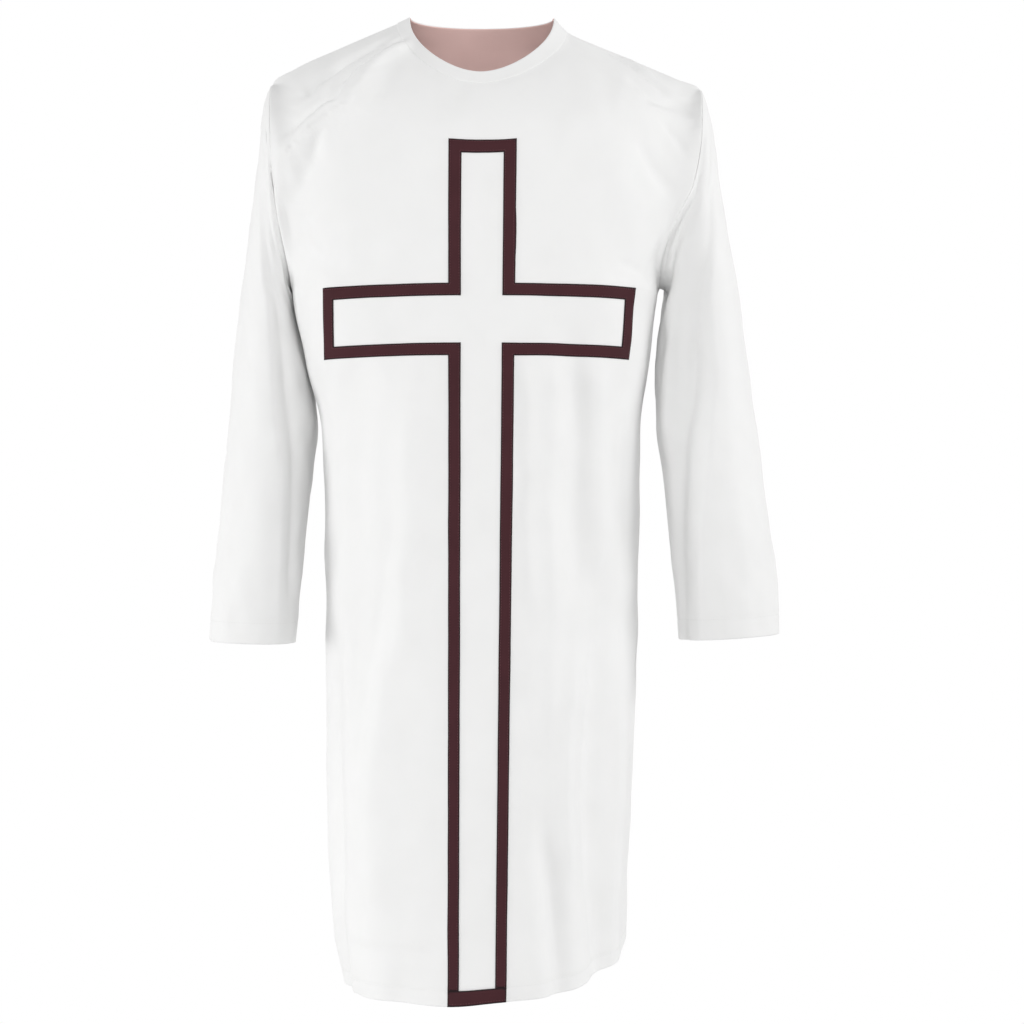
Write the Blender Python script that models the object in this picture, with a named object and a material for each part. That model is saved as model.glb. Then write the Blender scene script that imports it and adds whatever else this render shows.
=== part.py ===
"""A long-sleeved surcoat, filled out as it is worn and hollow inside, built from the pieces that a maker cuts.

Metres, +Z up. The front faces -Y. "Right" is the wearer's right side, at -X, and "left" is at +X.
The origin lies midway between the two shoulder seams, level with their middles, where the shoulders carry the cloth.
"""

from collections import namedtuple

import bmesh
import bpy
import numpy as np

CLOTH = 0.0016
SEAM_GAP = 0.0003
BAND_EXTRA = 0.0006
TAPE_THICK = 0.0010
FACING_THICK = 0.0010

RIGHT, LEFT = -1, 1
FRONT, BACK = -1, 1

# The cross of applied tape on the front: heights at the centre line, and widths on the cloth.
HEAD_TOP_Z = -0.1222
HEAD_TAPE = 0.0150
BAR_TOP_Z = -0.2815
BAR_BOTTOM_Z = -0.3605
BAR_TAPE = 0.0138
STEM_HALF_TOP = 0.0376
STEM_HALF_FOOT = 0.0317
STEM_TAPE_TOP = 0.0143
STEM_TAPE_FOOT = 0.0122
BAR_END_TAPE = 0.0141
# The cross leans a little: where its middle lies at its head and at the hem.
LEAN_TOP, LEAN_FOOT = 0.0028, -0.0030
# How far each arm of the cross reaches sideways, at its top and its bottom edge.
BAR_REACH = {RIGHT: (0.1735, 0.1730), LEFT: (0.1722, 0.1648)}
HEM_TURN = 0.0165
# The hem slants a little across the cross.
HEM_SLANT, SLANT_REACH = 0.105, 0.060

# Levels that the outline is cut at. Level 0 is the neckline and the last one is the hem.
NECKLINE, BAND_EDGE, MID_SHOULDER, SHOULDER, UNDERARM, BAR_FOOT = range(6)
HEM = 10
FACING_EDGE = 2.3

# One row for each level: heights at the centre front, the centre back and the two sides, widths from the middle to
# each side, depths to the front and to the back, how square the section is, how long a row stays
# level in the middle, and how gently it then meets the side.
Section = namedtuple("Section", "level front_z back_z right_z left_z right_w left_w front_d back_d square stay meet")
SECTIONS = (
    Section(0, -0.0395, 0.0390, 0.0360, 0.0355, 0.0820, 0.0830, 0.066, 0.066, 2.0, 1.9, 1.05),
    Section(1, -0.0540, 0.0255, 0.0290, 0.0200, 0.0965, 0.0975, 0.074, 0.073, 2.0, 2.0, 1.10),
    Section(2, -0.0800, -0.0250, -0.0005, -0.0110, 0.1650, 0.1680, 0.092, 0.091, 2.1, 2.3, 1.20),
    Section(2.6, -0.0960, -0.0600, -0.0230, -0.0345, 0.2140, 0.2230, 0.099, 0.099, 2.3, 2.7, 1.30),
    Section(3, -0.1080, -0.0850, -0.0425, -0.0480, 0.2400, 0.2510, 0.104, 0.104, 2.4, 3.1, 1.50),
    Section(4, BAR_TOP_Z, -0.2800, -0.2860, -0.2840, 0.2140, 0.2010, 0.120, 0.1145, 2.9, 2.5, 2.00),
    Section(4.3, -0.3050, -0.3050, -0.3100, -0.3080, 0.2098, 0.1963, 0.120, 0.1145, 2.9, 2.5, 2.00),
    Section(5, BAR_BOTTOM_Z, -0.3600, -0.3640, -0.3640, 0.1990, 0.1903, 0.119, 0.1120, 2.8, 2.5, 2.00),
    Section(6, -0.4470, -0.4470, -0.4490, -0.4490, 0.1812, 0.1808, 0.116, 0.1085, 2.6, 2.5, 2.00),
    Section(7, -0.6310, -0.6310, -0.6320, -0.6290, 0.1772, 0.1785, 0.122, 0.116, 2.4, 2.5, 2.00),
    Section(8, -0.8500, -0.8500, -0.8530, -0.8380, 0.1760, 0.1720, 0.132, 0.130, 2.3, 3.0, 2.00),
    Section(9, -0.9800, -0.9800, -0.9860, -0.9440, 0.1708, 0.1662, 0.138, 0.138, 2.2, 3.0, 2.00),
    Section(10, -1.0655, -1.0640, -1.0710, -1.0135, 0.1560, 0.1655, 0.141, 0.142, 2.2, 3.0, 2.00),
)

# The armhole seams: how far each reaches to the front and back of the side, and its distance
# from the middle at shares of its height, from the shoulder point down to the underarm.
ARMHOLE_DEPTH = 0.068
ARMHOLE_SHARES = (0.0, 0.25, 0.50, 0.65, 0.80, 0.90, 1.0)
ARMHOLES = {
    (RIGHT, FRONT): (0.2400, 0.2365, 0.2310, 0.2268, 0.2205, 0.2170, 0.2140),
    (RIGHT, BACK): (0.2400, 0.2395, 0.2365, 0.2320, 0.2245, 0.2195, 0.2140),
    (LEFT, FRONT): (0.2510, 0.2480, 0.2375, 0.2195, 0.2060, 0.2022, 0.2010),
    (LEFT, BACK): (0.2510, 0.2495, 0.2430, 0.2350, 0.2220, 0.2120, 0.2010),
}

# One row for each ring of a sleeve: its outer and inner edge as seen from the front, how far the
# ring reaches to the front and the back, and how far it is moved forward.
Ring = namedtuple("Ring", "out_x out_z in_x in_z front_d back_d forward")
SLEEVES = {
    RIGHT: (
        Ring(0.2400, -0.0425, 0.2140, -0.2860, 0.068, 0.068, 0.000),
        Ring(0.2452, -0.0540, 0.2152, -0.2830, 0.068, 0.070, 0.000),
        Ring(0.2510, -0.0920, 0.2168, -0.2860, 0.066, 0.074, -0.004),
        Ring(0.2600, -0.1700, 0.2158, -0.2980, 0.065, 0.078, -0.012),
        Ring(0.2725, -0.2533, 0.2078, -0.3350, 0.064, 0.080, -0.024),
        Ring(0.2815, -0.3322, 0.1970, -0.3850, 0.064, 0.078, -0.028),
        Ring(0.2898, -0.4311, 0.1930, -0.4367, 0.063, 0.074, -0.021),
        Ring(0.2940, -0.4900, 0.1968, -0.4930, 0.062, 0.068, -0.010),
        Ring(0.3005, -0.5700, 0.2038, -0.5720, 0.059, 0.062, 0.004),
        Ring(0.3060, -0.6206, 0.2085, -0.6230, 0.057, 0.058, 0.010),
        Ring(0.3095, -0.6783, 0.2130, -0.6810, 0.055, 0.055, 0.014),
    ),
    LEFT: (
        Ring(0.2510, -0.0480, 0.2010, -0.2840, 0.068, 0.068, 0.000),
        Ring(0.2575, -0.0620, 0.2022, -0.2810, 0.068, 0.070, 0.000),
        Ring(0.2660, -0.1100, 0.2044, -0.2840, 0.067, 0.074, -0.001),
        Ring(0.2775, -0.1850, 0.2040, -0.2960, 0.067, 0.077, -0.003),
        Ring(0.2895, -0.2620, 0.2025, -0.3300, 0.066, 0.077, -0.004),
        Ring(0.3020, -0.3500, 0.2008, -0.3800, 0.065, 0.074, -0.003),
        Ring(0.3118, -0.4253, 0.2018, -0.4357, 0.064, 0.068, 0.002),
        Ring(0.3190, -0.4868, 0.2088, -0.4900, 0.062, 0.064, 0.006),
        Ring(0.3300, -0.5645, 0.2165, -0.5680, 0.059, 0.060, 0.010),
        Ring(0.3365, -0.6150, 0.2222, -0.6200, 0.056, 0.057, 0.012),
        Ring(0.3395, -0.6703, 0.2262, -0.6772, 0.053, 0.054, 0.014),
    ),
}
RINGS_BETWEEN = (1, 1, 1, 1, 2, 2, 2, 2, 2, 1)
CAP_START, CAP_END = 1.0, 6.0

# The largest folds of the body: where each starts and ends, as a distance over the cloth from
# the centre line and a height, how wide it is and how far it stands out (below 0: sinks in).
Fold = namedtuple("Fold", "face s0 z0 s1 z1 width height")
FOLDS = (
    Fold(FRONT, -0.100, 0.005, -0.235, -0.070, 0.013, -0.0045),
    Fold(FRONT, -0.095, -0.022, -0.245, -0.125, 0.016, 0.0040),
    Fold(FRONT, -0.085, -0.052, -0.235, -0.178, 0.016, -0.0030),
    Fold(FRONT, 0.105, -0.004, 0.240, -0.085, 0.014, 0.0025),
    Fold(FRONT, 0.100, -0.030, 0.245, -0.125, 0.014, -0.0025),
    Fold(FRONT, -0.262, -0.165, -0.205, -0.275, 0.020, -0.0050),
    Fold(FRONT, 0.262, -0.165, 0.200, -0.270, 0.018, -0.0045),
    Fold(FRONT, -0.071, -0.330, -0.085, -0.700, 0.026, 0.0040),
    Fold(FRONT, -0.137, -0.340, -0.142, -0.800, 0.022, -0.0045),
    Fold(FRONT, -0.120, -0.700, -0.124, -1.085, 0.030, 0.0045),
    Fold(FRONT, -0.186, -0.660, -0.192, -1.085, 0.018, -0.0060),
    Fold(FRONT, 0.073, -0.330, 0.075, -0.760, 0.018, 0.0040),
    Fold(FRONT, 0.105, -0.340, 0.107, -0.640, 0.016, -0.0035),
    Fold(FRONT, 0.134, -0.330, 0.139, -0.620, 0.018, 0.0035),
    Fold(FRONT, 0.107, -0.680, 0.102, -0.960, 0.018, 0.0045),
    Fold(FRONT, 0.142, -0.600, 0.120, -0.880, 0.022, -0.0055),
    Fold(FRONT, 0.124, -0.790, 0.150, -1.085, 0.022, -0.0060),
    Fold(FRONT, 0.072, -0.850, 0.089, -1.085, 0.016, -0.0040),
    Fold(FRONT, 0.176, -0.680, 0.172, -1.070, 0.018, 0.0045),
    Fold(BACK, -0.085, -0.020, -0.200, -0.150, 0.020, -0.0030),
    Fold(BACK, 0.085, -0.022, 0.200, -0.160, 0.020, -0.0030),
    Fold(BACK, -0.060, -0.300, -0.064, -1.000, 0.032, 0.0065),
    Fold(BACK, 0.030, -0.380, 0.022, -1.085, 0.028, -0.0065),
    Fold(BACK, 0.100, -0.260, 0.108, -0.900, 0.030, 0.0060),
    Fold(BACK, -0.128, -0.450, -0.126, -1.085, 0.026, -0.0060),
    Fold(BACK, 0.166, -0.520, 0.160, -1.060, 0.024, -0.0065),
    Fold(BACK, -0.190, -0.620, -0.184, -1.030, 0.022, 0.0045),
)
SEAM_CALM = 0.030
FOLD_RUN_OUT = 0.25

# Folds of the sleeves: around the ring (0 is the outer edge, 0.5 the inner one, the front comes
# first), how far down the sleeve (0 to 1), how late the fold bends away (1 is straight), how wide it is as a
# share of the ring, and how far it stands out.
Crease = namedtuple("Crease", "side a0 d0 a1 d1 bend width height")
CREASES = (
    Crease(RIGHT, 0.25, 0.20, 0.48, 1.05, 2.2, 0.045, 0.0060),
    Crease(RIGHT, 0.35, 0.22, 0.42, 0.80, 1.0, 0.045, -0.0040),
    Crease(RIGHT, 0.74, 0.30, 0.72, 1.00, 1.0, 0.060, 0.0050),
    Crease(LEFT, 0.25, 0.25, 0.41, 1.05, 1.0, 0.050, -0.0055),
    Crease(LEFT, 0.36, 0.28, 0.42, 0.80, 1.0, 0.045, 0.0040),
    Crease(LEFT, 0.16, 0.30, 0.26, 1.05, 1.0, 0.060, 0.0035),
    Crease(LEFT, 0.73, 0.30, 0.75, 1.00, 1.0, 0.060, 0.0050),
)

WHITE_CLOTH = ("white_cloth", (0.86, 0.86, 0.85), 0.85)
MAROON_TAPE = ("maroon_tape", (0.085, 0.025, 0.033), 0.80)
ROSE_FACING = ("rose_facing", (0.54, 0.365, 0.34), 0.85)


def through(knots, values, at):
    """A smooth curve through the values at the knots, which never swings past them."""
    knots, values = np.asarray(knots, float), np.asarray(values, float)
    steps = np.diff(knots)
    slopes = np.diff(values) / steps
    before, after = slopes[:-1], slopes[1:]
    same_way = before * after > 0
    safe = np.where(same_way, before, 1.0), np.where(same_way, after, 1.0)
    near, far = 2 * steps[1:] + steps[:-1], steps[1:] + 2 * steps[:-1]
    inner = np.where(same_way, (near + far) / (near / safe[0] + far / safe[1]), 0.0)
    tangents = np.concatenate([slopes[:1], inner, slopes[-1:]])
    at = np.asarray(at, float)
    i = np.clip(np.searchsorted(knots, at, side="right") - 1, 0, len(steps) - 1)
    u = (at - knots[i]) / steps[i]
    return (
        values[i] * (1 + 2 * u) * (1 - u) ** 2
        + steps[i] * tangents[i] * u * (1 - u) ** 2
        + values[i + 1] * u**2 * (3 - 2 * u)
        + steps[i] * tangents[i + 1] * u**2 * (u - 1)
    )


def size_at(column, level):
    """The value of a column of SECTIONS at any level."""
    return float(through([s.level for s in SECTIONS], [getattr(s, column) for s in SECTIONS], level))


def level_at(front_z):
    """The level whose centre front is at this height."""
    levels = np.linspace(NECKLINE, HEM, 2001)
    heights = through([s.level for s in SECTIONS], [s.front_z for s in SECTIONS], levels)
    return float(np.interp(-front_z, -heights, levels))


def armhole_angle(level):
    """How far round the armhole seam a level is, from 0 at the shoulder to pi at the underarm."""
    return np.pi * (level - SHOULDER) / (UNDERARM - SHOULDER)


def row_end(side, face, level):
    """Where a row of the body ends: on the shoulder seam, the armhole seam or the side seam."""
    name = "right" if side == RIGHT else "left"
    if not SHOULDER < level < UNDERARM:
        return np.array([size_at(name + "_w", level), 0.0, size_at(name + "_z", level)])
    angle = armhole_angle(level)
    share = (1 - np.cos(angle)) / 2
    top, foot = (next(s for s in SECTIONS if s.level == cut) for cut in (SHOULDER, UNDERARM))
    top_z, foot_z = getattr(top, name + "_z"), getattr(foot, name + "_z")
    wide = float(through(ARMHOLE_SHARES, ARMHOLES[side, face], share))
    return np.array([wide, ARMHOLE_DEPTH * np.sin(angle), top_z + (foot_z - top_z) * share])


def half_row(side, face, level, count=160):
    """Points from the centre line out to the row's end, and the distance over the cloth to each."""
    end = row_end(side, face, level)
    name = "front" if face == FRONT else "back"
    depth, middle_z = size_at(name + "_d", level), size_at(name + "_z", level)
    square, stay, meet = size_at("square", level), size_at("stay", level), size_at("meet", level)
    wide = end[0] / (1 - (end[1] / depth) ** square) ** (1 / square)
    turn = np.linspace(0.0, np.arctan2(end[0], end[1]), count)
    reach = (np.abs(np.sin(turn) / wide) ** square + np.abs(np.cos(turn) / depth) ** square) ** (-1 / square)
    share = np.linspace(0.0, 1.0, count)
    height = middle_z + (end[2] - middle_z) * (1 - (1 - share**stay) ** meet)
    points = np.stack([side * reach * np.sin(turn), face * reach * np.cos(turn), height], axis=1)
    steps = np.linalg.norm(np.diff(points, axis=0), axis=1)
    lengths = np.concatenate([[0.0], np.cumsum(steps)])
    slant = HEM_SLANT * (level / HEM) ** 12 if face == FRONT else 0.0
    points[:, 2] += slant * side * lengths * np.exp(-((lengths / SLANT_REACH) ** 2))
    return points, lengths


def whole_row(face, level):
    """Points from the right end of a row to its left end, and how far each lies to the left of the centre line."""
    (right, right_s), (left, left_s) = (half_row(side, face, level) for side in (RIGHT, LEFT))
    return np.concatenate([right[:0:-1], left]), np.concatenate([-right_s[:0:-1], left_s])


def along(points, lengths, distances):
    """Points at these distances along a line of points."""
    return np.stack([np.interp(distances, lengths, points[:, k]) for k in range(3)], axis=1)


def stem_edges(front_z):
    """Where the stem of the cross lies on a row: its middle, and half its width inside and outside its tape."""
    share = np.clip((HEAD_TOP_Z - front_z) / (HEAD_TOP_Z - SECTIONS[-1].front_z), 0.0, 1.0)
    outside = STEM_HALF_TOP + (STEM_HALF_FOOT - STEM_HALF_TOP) * share
    tape = STEM_TAPE_TOP + (STEM_TAPE_FOOT - STEM_TAPE_TOP) * share
    return LEAN_TOP + (LEAN_FOOT - LEAN_TOP) * share, outside - tape, outside


def arm_end(side, level):
    """How far along the half row an arm of the cross ends, inside and outside its tape."""
    bar_level = float(np.clip(level, UNDERARM, BAR_FOOT))
    points, lengths = half_row(side, FRONT, bar_level)
    reach = np.interp(bar_level, (UNDERARM, BAR_FOOT), BAR_REACH[side])
    outside = np.interp(reach, np.abs(points[:, 0]), lengths)
    whole = half_row(side, FRONT, level)[1][-1]
    return (outside - BAR_END_TAPE) * whole / lengths[-1], outside * whole / lengths[-1]


# How many strips lie between the stem and an arm's end, and from there to the row's end.
ARM_STRIPS, SIDE_STRIPS = 5, 4
BACK_STRIPS = 10
STEM_INNER, STEM_OUTER = 1, 2
ARM_INNER = STEM_OUTER + ARM_STRIPS
ARM_OUTER = ARM_INNER + 1
FRONT_STRIPS = ARM_OUTER + SIDE_STRIPS


def column_places(face, level, lengths):
    """Where a row is cut into columns, from its right end to its left end."""
    if face == BACK:
        right, left = (np.linspace(0.0, end, BACK_STRIPS + 1) for end in (lengths[0], lengths[-1]))
        return np.concatenate([right[:0:-1], left])
    middle, stem_inner, stem_outer = stem_edges(size_at("front_z", level))
    cuts = []
    for side, end in ((RIGHT, lengths[0]), (LEFT, lengths[-1])):
        arm_inner, arm_outer = (side * place for place in arm_end(side, level))
        strips = np.linspace(middle + side * stem_outer, arm_inner, ARM_STRIPS + 1)
        sides = np.linspace(arm_outer, end, SIDE_STRIPS + 1)
        cuts.append(np.concatenate([[middle + side * stem_inner], strips, sides]))
    return np.concatenate([cuts[0][::-1], [middle], cuts[1]])


def fold_height(face, s, z):
    """How far the folds move the cloth outward at distance s from the centre line and height z."""
    total = np.zeros_like(s)
    for fold in FOLDS:
        if fold.face != face:
            continue
        run = np.array([fold.s1 - fold.s0, fold.z1 - fold.z0])
        length = np.hypot(*run)
        ahead = ((s - fold.s0) * run[0] + (z - fold.z0) * run[1]) / length**2
        aside = np.abs((s - fold.s0) * run[1] - (z - fold.z0) * run[0]) / length
        inside = np.clip(np.minimum(ahead, 1 - ahead) / FOLD_RUN_OUT, 0.0, 1.0)
        total += fold.height * inside**2 * (3 - 2 * inside) * np.exp(-((aside / fold.width) ** 2))
    return total


def outward(grid, wrap=False):
    """The unit normal at each point of a grid whose rows run down and whose columns run anticlockwise from above."""
    if wrap:
        across = np.roll(grid, -1, axis=1) - np.roll(grid, 1, axis=1)
    else:
        across = np.gradient(grid, axis=1)
    normal = np.cross(np.gradient(grid, axis=0), across)
    return normal / np.linalg.norm(normal, axis=2, keepdims=True)


def across_seam(points, normals, wrap=False):
    """Unit directions that run along the cloth, square to a seam."""
    if wrap:
        along_seam = np.roll(points, -1, axis=0) - np.roll(points, 1, axis=0)
    else:
        along_seam = np.gradient(points, axis=0)
    across = np.cross(normals, along_seam)
    return across / np.linalg.norm(across, axis=1, keepdims=True)


def body_grid(face, levels):
    """The middle surface of the front or the back, and its normals. The columns run from the right to the left side
    on the front, and from the left to the right side on the back, so both face outward."""
    rows, places = [], []
    for level in levels:
        points, lengths = whole_row(face, level)
        cuts = column_places(face, level, lengths)
        rows.append(along(points, lengths, cuts))
        places.append(cuts)
    grid, s = np.array(rows), np.array(places)
    if face == BACK:
        grid, s = grid[:, ::-1], s[:, ::-1]
    normal = outward(grid)
    calm = np.clip(np.minimum(s - s.min(axis=1, keepdims=True), s.max(axis=1, keepdims=True) - s) / SEAM_CALM, 0, 1)
    grid = grid + normal * (fold_height(face, s, grid[:, :, 2]) * calm)[:, :, None]
    normal = outward(grid)
    for row, level in enumerate(levels):
        if not SHOULDER < level < UNDERARM:
            for column in (0, -1):
                grid[row, column, 1] = face * SEAM_GAP / 2
                flat = normal[row, column] * (1, 0, 1)
                normal[row, column] = flat / np.linalg.norm(flat)
    return grid, normal


def material(name, colour, roughness):
    """A plain cloth material."""
    made = bpy.data.materials.new(name)
    made.use_nodes = True
    shader = made.node_tree.nodes["Principled BSDF"]
    shader.inputs["Base Color"].default_value = (*colour, 1.0)
    shader.inputs["Roughness"].default_value = roughness
    shader.inputs["Metallic"].default_value = 0.0
    return made


def patch(name, outer, inner, cells, finish, wrap=False):
    """A closed wall over the chosen cells of a grid, between its outer and its inner points. Both sides, and the two
    edges of a seam, are cut into triangles alike, so that neighbours follow each other."""
    rows, columns = outer.shape[:2]
    mesh = bmesh.new()
    made = {}

    def corner(layer, row, column):
        key = (layer, row, column % columns if wrap else column)
        if key not in made:
            made[key] = mesh.verts.new((outer, inner)[layer][key[1], key[2]])
        return made[key]

    rims = {}
    for row, column in sorted(cells):
        ring = [(row, column), (row + 1, column), (row + 1, column + 1), (row, column + 1)]
        if 2 * column >= columns:
            ring = ring[1:] + ring[:1]
        for three in (ring[:3], [ring[0], ring[2], ring[3]]):
            mesh.faces.new([corner(0, r, c) for r, c in three])
            mesh.faces.new([corner(1, r, c) for r, c in reversed(three)])
        ring = [(r, c % columns if wrap else c) for r, c in ring]
        for start, end in zip(ring, ring[1:] + ring[:1]):
            if rims.pop((end, start), None) is None:
                rims[(start, end)] = True
    for start, end in rims:
        ring = [corner(0, *end), corner(0, *start), corner(1, *start), corner(1, *end)]
        if (ring[0].co - ring[2].co).length > (ring[1].co - ring[3].co).length:
            ring = ring[1:] + ring[:1]
        mesh.faces.new(ring[:3])
        mesh.faces.new([ring[0], ring[2], ring[3]])
    bmesh.ops.recalc_face_normals(mesh, faces=mesh.faces[:])
    data = bpy.data.meshes.new(name)
    mesh.to_mesh(data)
    mesh.free()
    data.materials.append(finish)
    data.shade_smooth()
    data.set_sharp_from_angle(angle=np.radians(50))
    made_object = bpy.data.objects.new(name, data)
    bpy.context.scene.collection.objects.link(made_object)
    return made_object


def all_cells(grid, wrap=False):
    """Every cell of a grid."""
    rows, columns = grid.shape[:2]
    return {(r, c) for r in range(rows - 1) for c in range(columns if wrap else columns - 1)}


def armhole_levels():
    """Levels along the armhole, with two of them on the edges of the tape over the cross's head."""
    head_top, head_inner = level_at(HEAD_TOP_Z), level_at(HEAD_TOP_Z - HEAD_TAPE)
    return [float(SHOULDER), head_top, *np.linspace(head_inner, UNDERARM, 9)]


def neck_levels():
    """Levels of the neck band, the last of which is its seam with the panels."""
    return [float(NECKLINE), (NECKLINE + BAND_EDGE) / 2, float(BAND_EDGE)]


def yoke_levels():
    """Levels between the neck band's seam and the shoulder points."""
    return list(np.linspace(BAND_EDGE, SHOULDER, 6)[1:-1])


def front_levels():
    """Levels of the front below the yoke, with rows on the edges of the cross's tape and on the hem's stitching."""
    bar = [level_at(z) for z in (BAR_TOP_Z - BAR_TAPE, (BAR_TOP_Z + BAR_BOTTOM_Z) / 2, BAR_BOTTOM_Z + BAR_TAPE)]
    skirt = [level_at(z) for z in np.linspace(BAR_BOTTOM_Z, SECTIONS[-1].front_z + HEM_TURN, 16)[1:]]
    return [*armhole_levels(), *bar, float(BAR_FOOT), *skirt, float(HEM)]


def back_levels():
    """Levels of the back below the yoke."""
    return [*armhole_levels(), *np.linspace(UNDERARM, HEM, 15)[1:]]


def build_body(finish):
    """The front and the back panel. Returns the grid, normals and levels of each, from the neckline on."""
    made = {}
    for name, face, lower in (("front", FRONT, front_levels()), ("back", BACK, back_levels())):
        levels = [*neck_levels(), *yoke_levels(), *lower]
        grid, normal = body_grid(face, levels)
        made[face] = (grid, normal, levels)
        seam = len(neck_levels()) - 1
        panel, panel_normal = grid[seam:].copy(), normal[seam:]
        parted = across_seam(panel[0], panel_normal[0])
        parted[[0, -1], 1] = 0.0
        panel[0] -= parted * SEAM_GAP
        outer, inner = panel + panel_normal * CLOTH / 2, panel - panel_normal * CLOTH / 2
        patch(name, outer, inner, all_cells(panel), finish)
    return made


def build_cross(front, finish):
    """The outline of the cross in tape, laid on the front, and the strip that closes it along the hem."""
    grid, normal, levels = front
    low = grid + normal * (CLOTH / 2 + SEAM_GAP)
    high = low + normal * TAPE_THICK
    middle = FRONT_STRIPS
    head, head_inner = (levels.index(level) for level in armhole_levels()[1:3])
    bar = levels.index(float(UNDERARM))
    bar_foot = levels.index(float(BAR_FOOT))
    stitch = len(levels) - 2

    tape = set()
    for row, column in all_cells(grid):
        strip = column - middle if column >= middle else middle - 1 - column
        in_stem = strip < STEM_OUTER and head <= row < stitch
        in_bar = strip < ARM_OUTER and bar <= row < bar_foot
        stem_edge = in_stem and strip == STEM_INNER and not bar < row < bar_foot - 1
        head_edge = in_stem and row < head_inner
        bar_edge = in_bar and strip >= STEM_OUTER and row in (bar, bar_foot - 1)
        if stem_edge or head_edge or bar_edge or in_bar and strip == ARM_INNER:
            tape.add((row, column))
    patch("cross_tape", high, low, tape, finish)

    foot = slice(stitch, stitch + 2)
    low_foot, high_foot = low[foot].copy(), high[foot].copy()
    for layer in (low_foot, high_foot):
        layer[0] -= across_seam(layer[0], normal[stitch]) * SEAM_GAP
    cells = {(0, column) for column in range(middle - STEM_OUTER, middle + STEM_OUTER)}
    patch("cross_foot", high_foot, low_foot, cells, finish)


def build_neck(body, finish, facing_finish):
    """The band round the neckline, and the facing inside the back of the neck."""
    rows = len(neck_levels())
    (front, front_normal, _), (back, back_normal, levels) = body[FRONT], body[BACK]
    ring = np.concatenate([front[:rows, :-1], back[:rows, :-1]], axis=1)
    normal = np.concatenate([front_normal[:rows, :-1], back_normal[:rows, :-1]], axis=1)
    for here, there in ((0, back_normal[:rows, -1]), (front.shape[1] - 1, front_normal[:rows, -1])):
        ring[:, here, 1] = 0.0
        both = normal[:, here] + there
        normal[:, here] = both / np.linalg.norm(both, axis=1, keepdims=True)
    outer, inner = ring + normal * (CLOTH / 2 + BAND_EXTRA), ring - normal * CLOTH / 2
    patch("neck_band", outer, inner, all_cells(ring, wrap=True), finish, wrap=True)

    last = 1 + max(row for row, level in enumerate(levels) if level < FACING_EDGE)
    high = back[:last] - back_normal[:last] * (CLOTH / 2 + SEAM_GAP)
    low = high - back_normal[:last] * FACING_THICK
    patch("back_neck_facing", high, low, all_cells(high), facing_finish)


def crease_height(side, around, down):
    """How far the sleeve's folds move the cloth outward."""
    total = 0.0
    for crease in CREASES:
        if crease.side != side:
            continue
        share = np.clip((down - crease.d0) / (crease.d1 - crease.d0), 0.0, 1.0)
        aside = (around - (crease.a0 + (crease.a1 - crease.a0) * share**crease.bend)) / crease.width
        inside = np.clip(np.minimum(down - crease.d0, crease.d1 - down) / 0.12, 0.0, 1.0)
        total += crease.height * inside**2 * (3 - 2 * inside) * np.exp(-(aside**2))
    return total


def armhole_loop(side, body):
    """The armhole seam from the shoulder over the front to the underarm and up the back: points and normals."""
    halves = []
    for face in (FRONT, BACK):
        grid, normal, levels = body[face]
        rows = slice(levels.index(float(SHOULDER)), levels.index(float(UNDERARM)) + 1)
        column = 0 if side * face > 0 else -1
        halves.append((grid[rows, column], normal[rows, column]))
    loop = []
    for one, other in zip(*halves):
        ends = (one[:1] + other[:1]) / 2, (one[-1:] + other[-1:]) / 2
        loop.append(np.concatenate([ends[0], one[1:-1], ends[1], other[-2:0:-1]]))
    points, normals = loop
    return points, normals / np.linalg.norm(normals, axis=1, keepdims=True)


def build_sleeve(name, side, body, finish):
    """A sleeve: rings from the armhole seam down to the open cuff."""
    points, normals = armhole_loop(side, body)
    loop = points + side * across_seam(points, normals, wrap=True) * SEAM_GAP
    half = np.pi * (np.array(armhole_levels()) - SHOULDER) / (UNDERARM - SHOULDER)
    angles = np.concatenate([half, 2 * np.pi - half[-2:0:-1]])
    stations = SLEEVES[side]
    places = [0.0]
    for station, extra in enumerate(RINGS_BETWEEN):
        places.extend(np.linspace(station, station + 1, extra + 1)[1:])
    places = np.array(places)
    columns = {c: through(range(len(stations)), [getattr(r, c) for r in stations], places) for c in Ring._fields}

    def ring(i):
        outer = np.array([side * columns["out_x"][i], 0.0, columns["out_z"][i]])
        inner = np.array([side * columns["in_x"][i], 0.0, columns["in_z"][i]])
        depth = np.where(angles <= np.pi, -columns["front_d"][i], -columns["back_d"][i]) * np.sin(angles)
        depth = depth - columns["forward"][i]
        return (
            (outer + inner) / 2
            + np.cos(angles)[:, None] * (outer - inner) / 2
            + depth[:, None] * np.array([0.0, 1.0, 0.0])
        )

    strayed = loop - ring(0)
    grid = []
    for i, place in enumerate(places):
        done = np.clip((place - CAP_START) / (CAP_END - CAP_START), 0.0, 1.0)
        grid.append(ring(i) + (1 - done**2 * (3 - 2 * done)) * strayed)
    grid = np.array(grid)
    if side == LEFT:
        grid, normals, angles = grid[:, ::-1], normals[::-1], angles[::-1]
    normal = outward(grid, wrap=True)
    around, down = angles / (2 * np.pi), places / places[-1]
    swell = crease_height(side, around[None, :], down[:, None])
    grid[1:] += normal[1:] * swell[1:, :, None]
    normal = outward(grid, wrap=True)
    normal[0] = normals
    blended = normal[1] + normals * 0.5
    normal[1] = blended / np.linalg.norm(blended, axis=1, keepdims=True)
    patch(name, grid + normal * CLOTH / 2, grid - normal * CLOTH / 2, all_cells(grid, wrap=True), finish, wrap=True)


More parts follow.
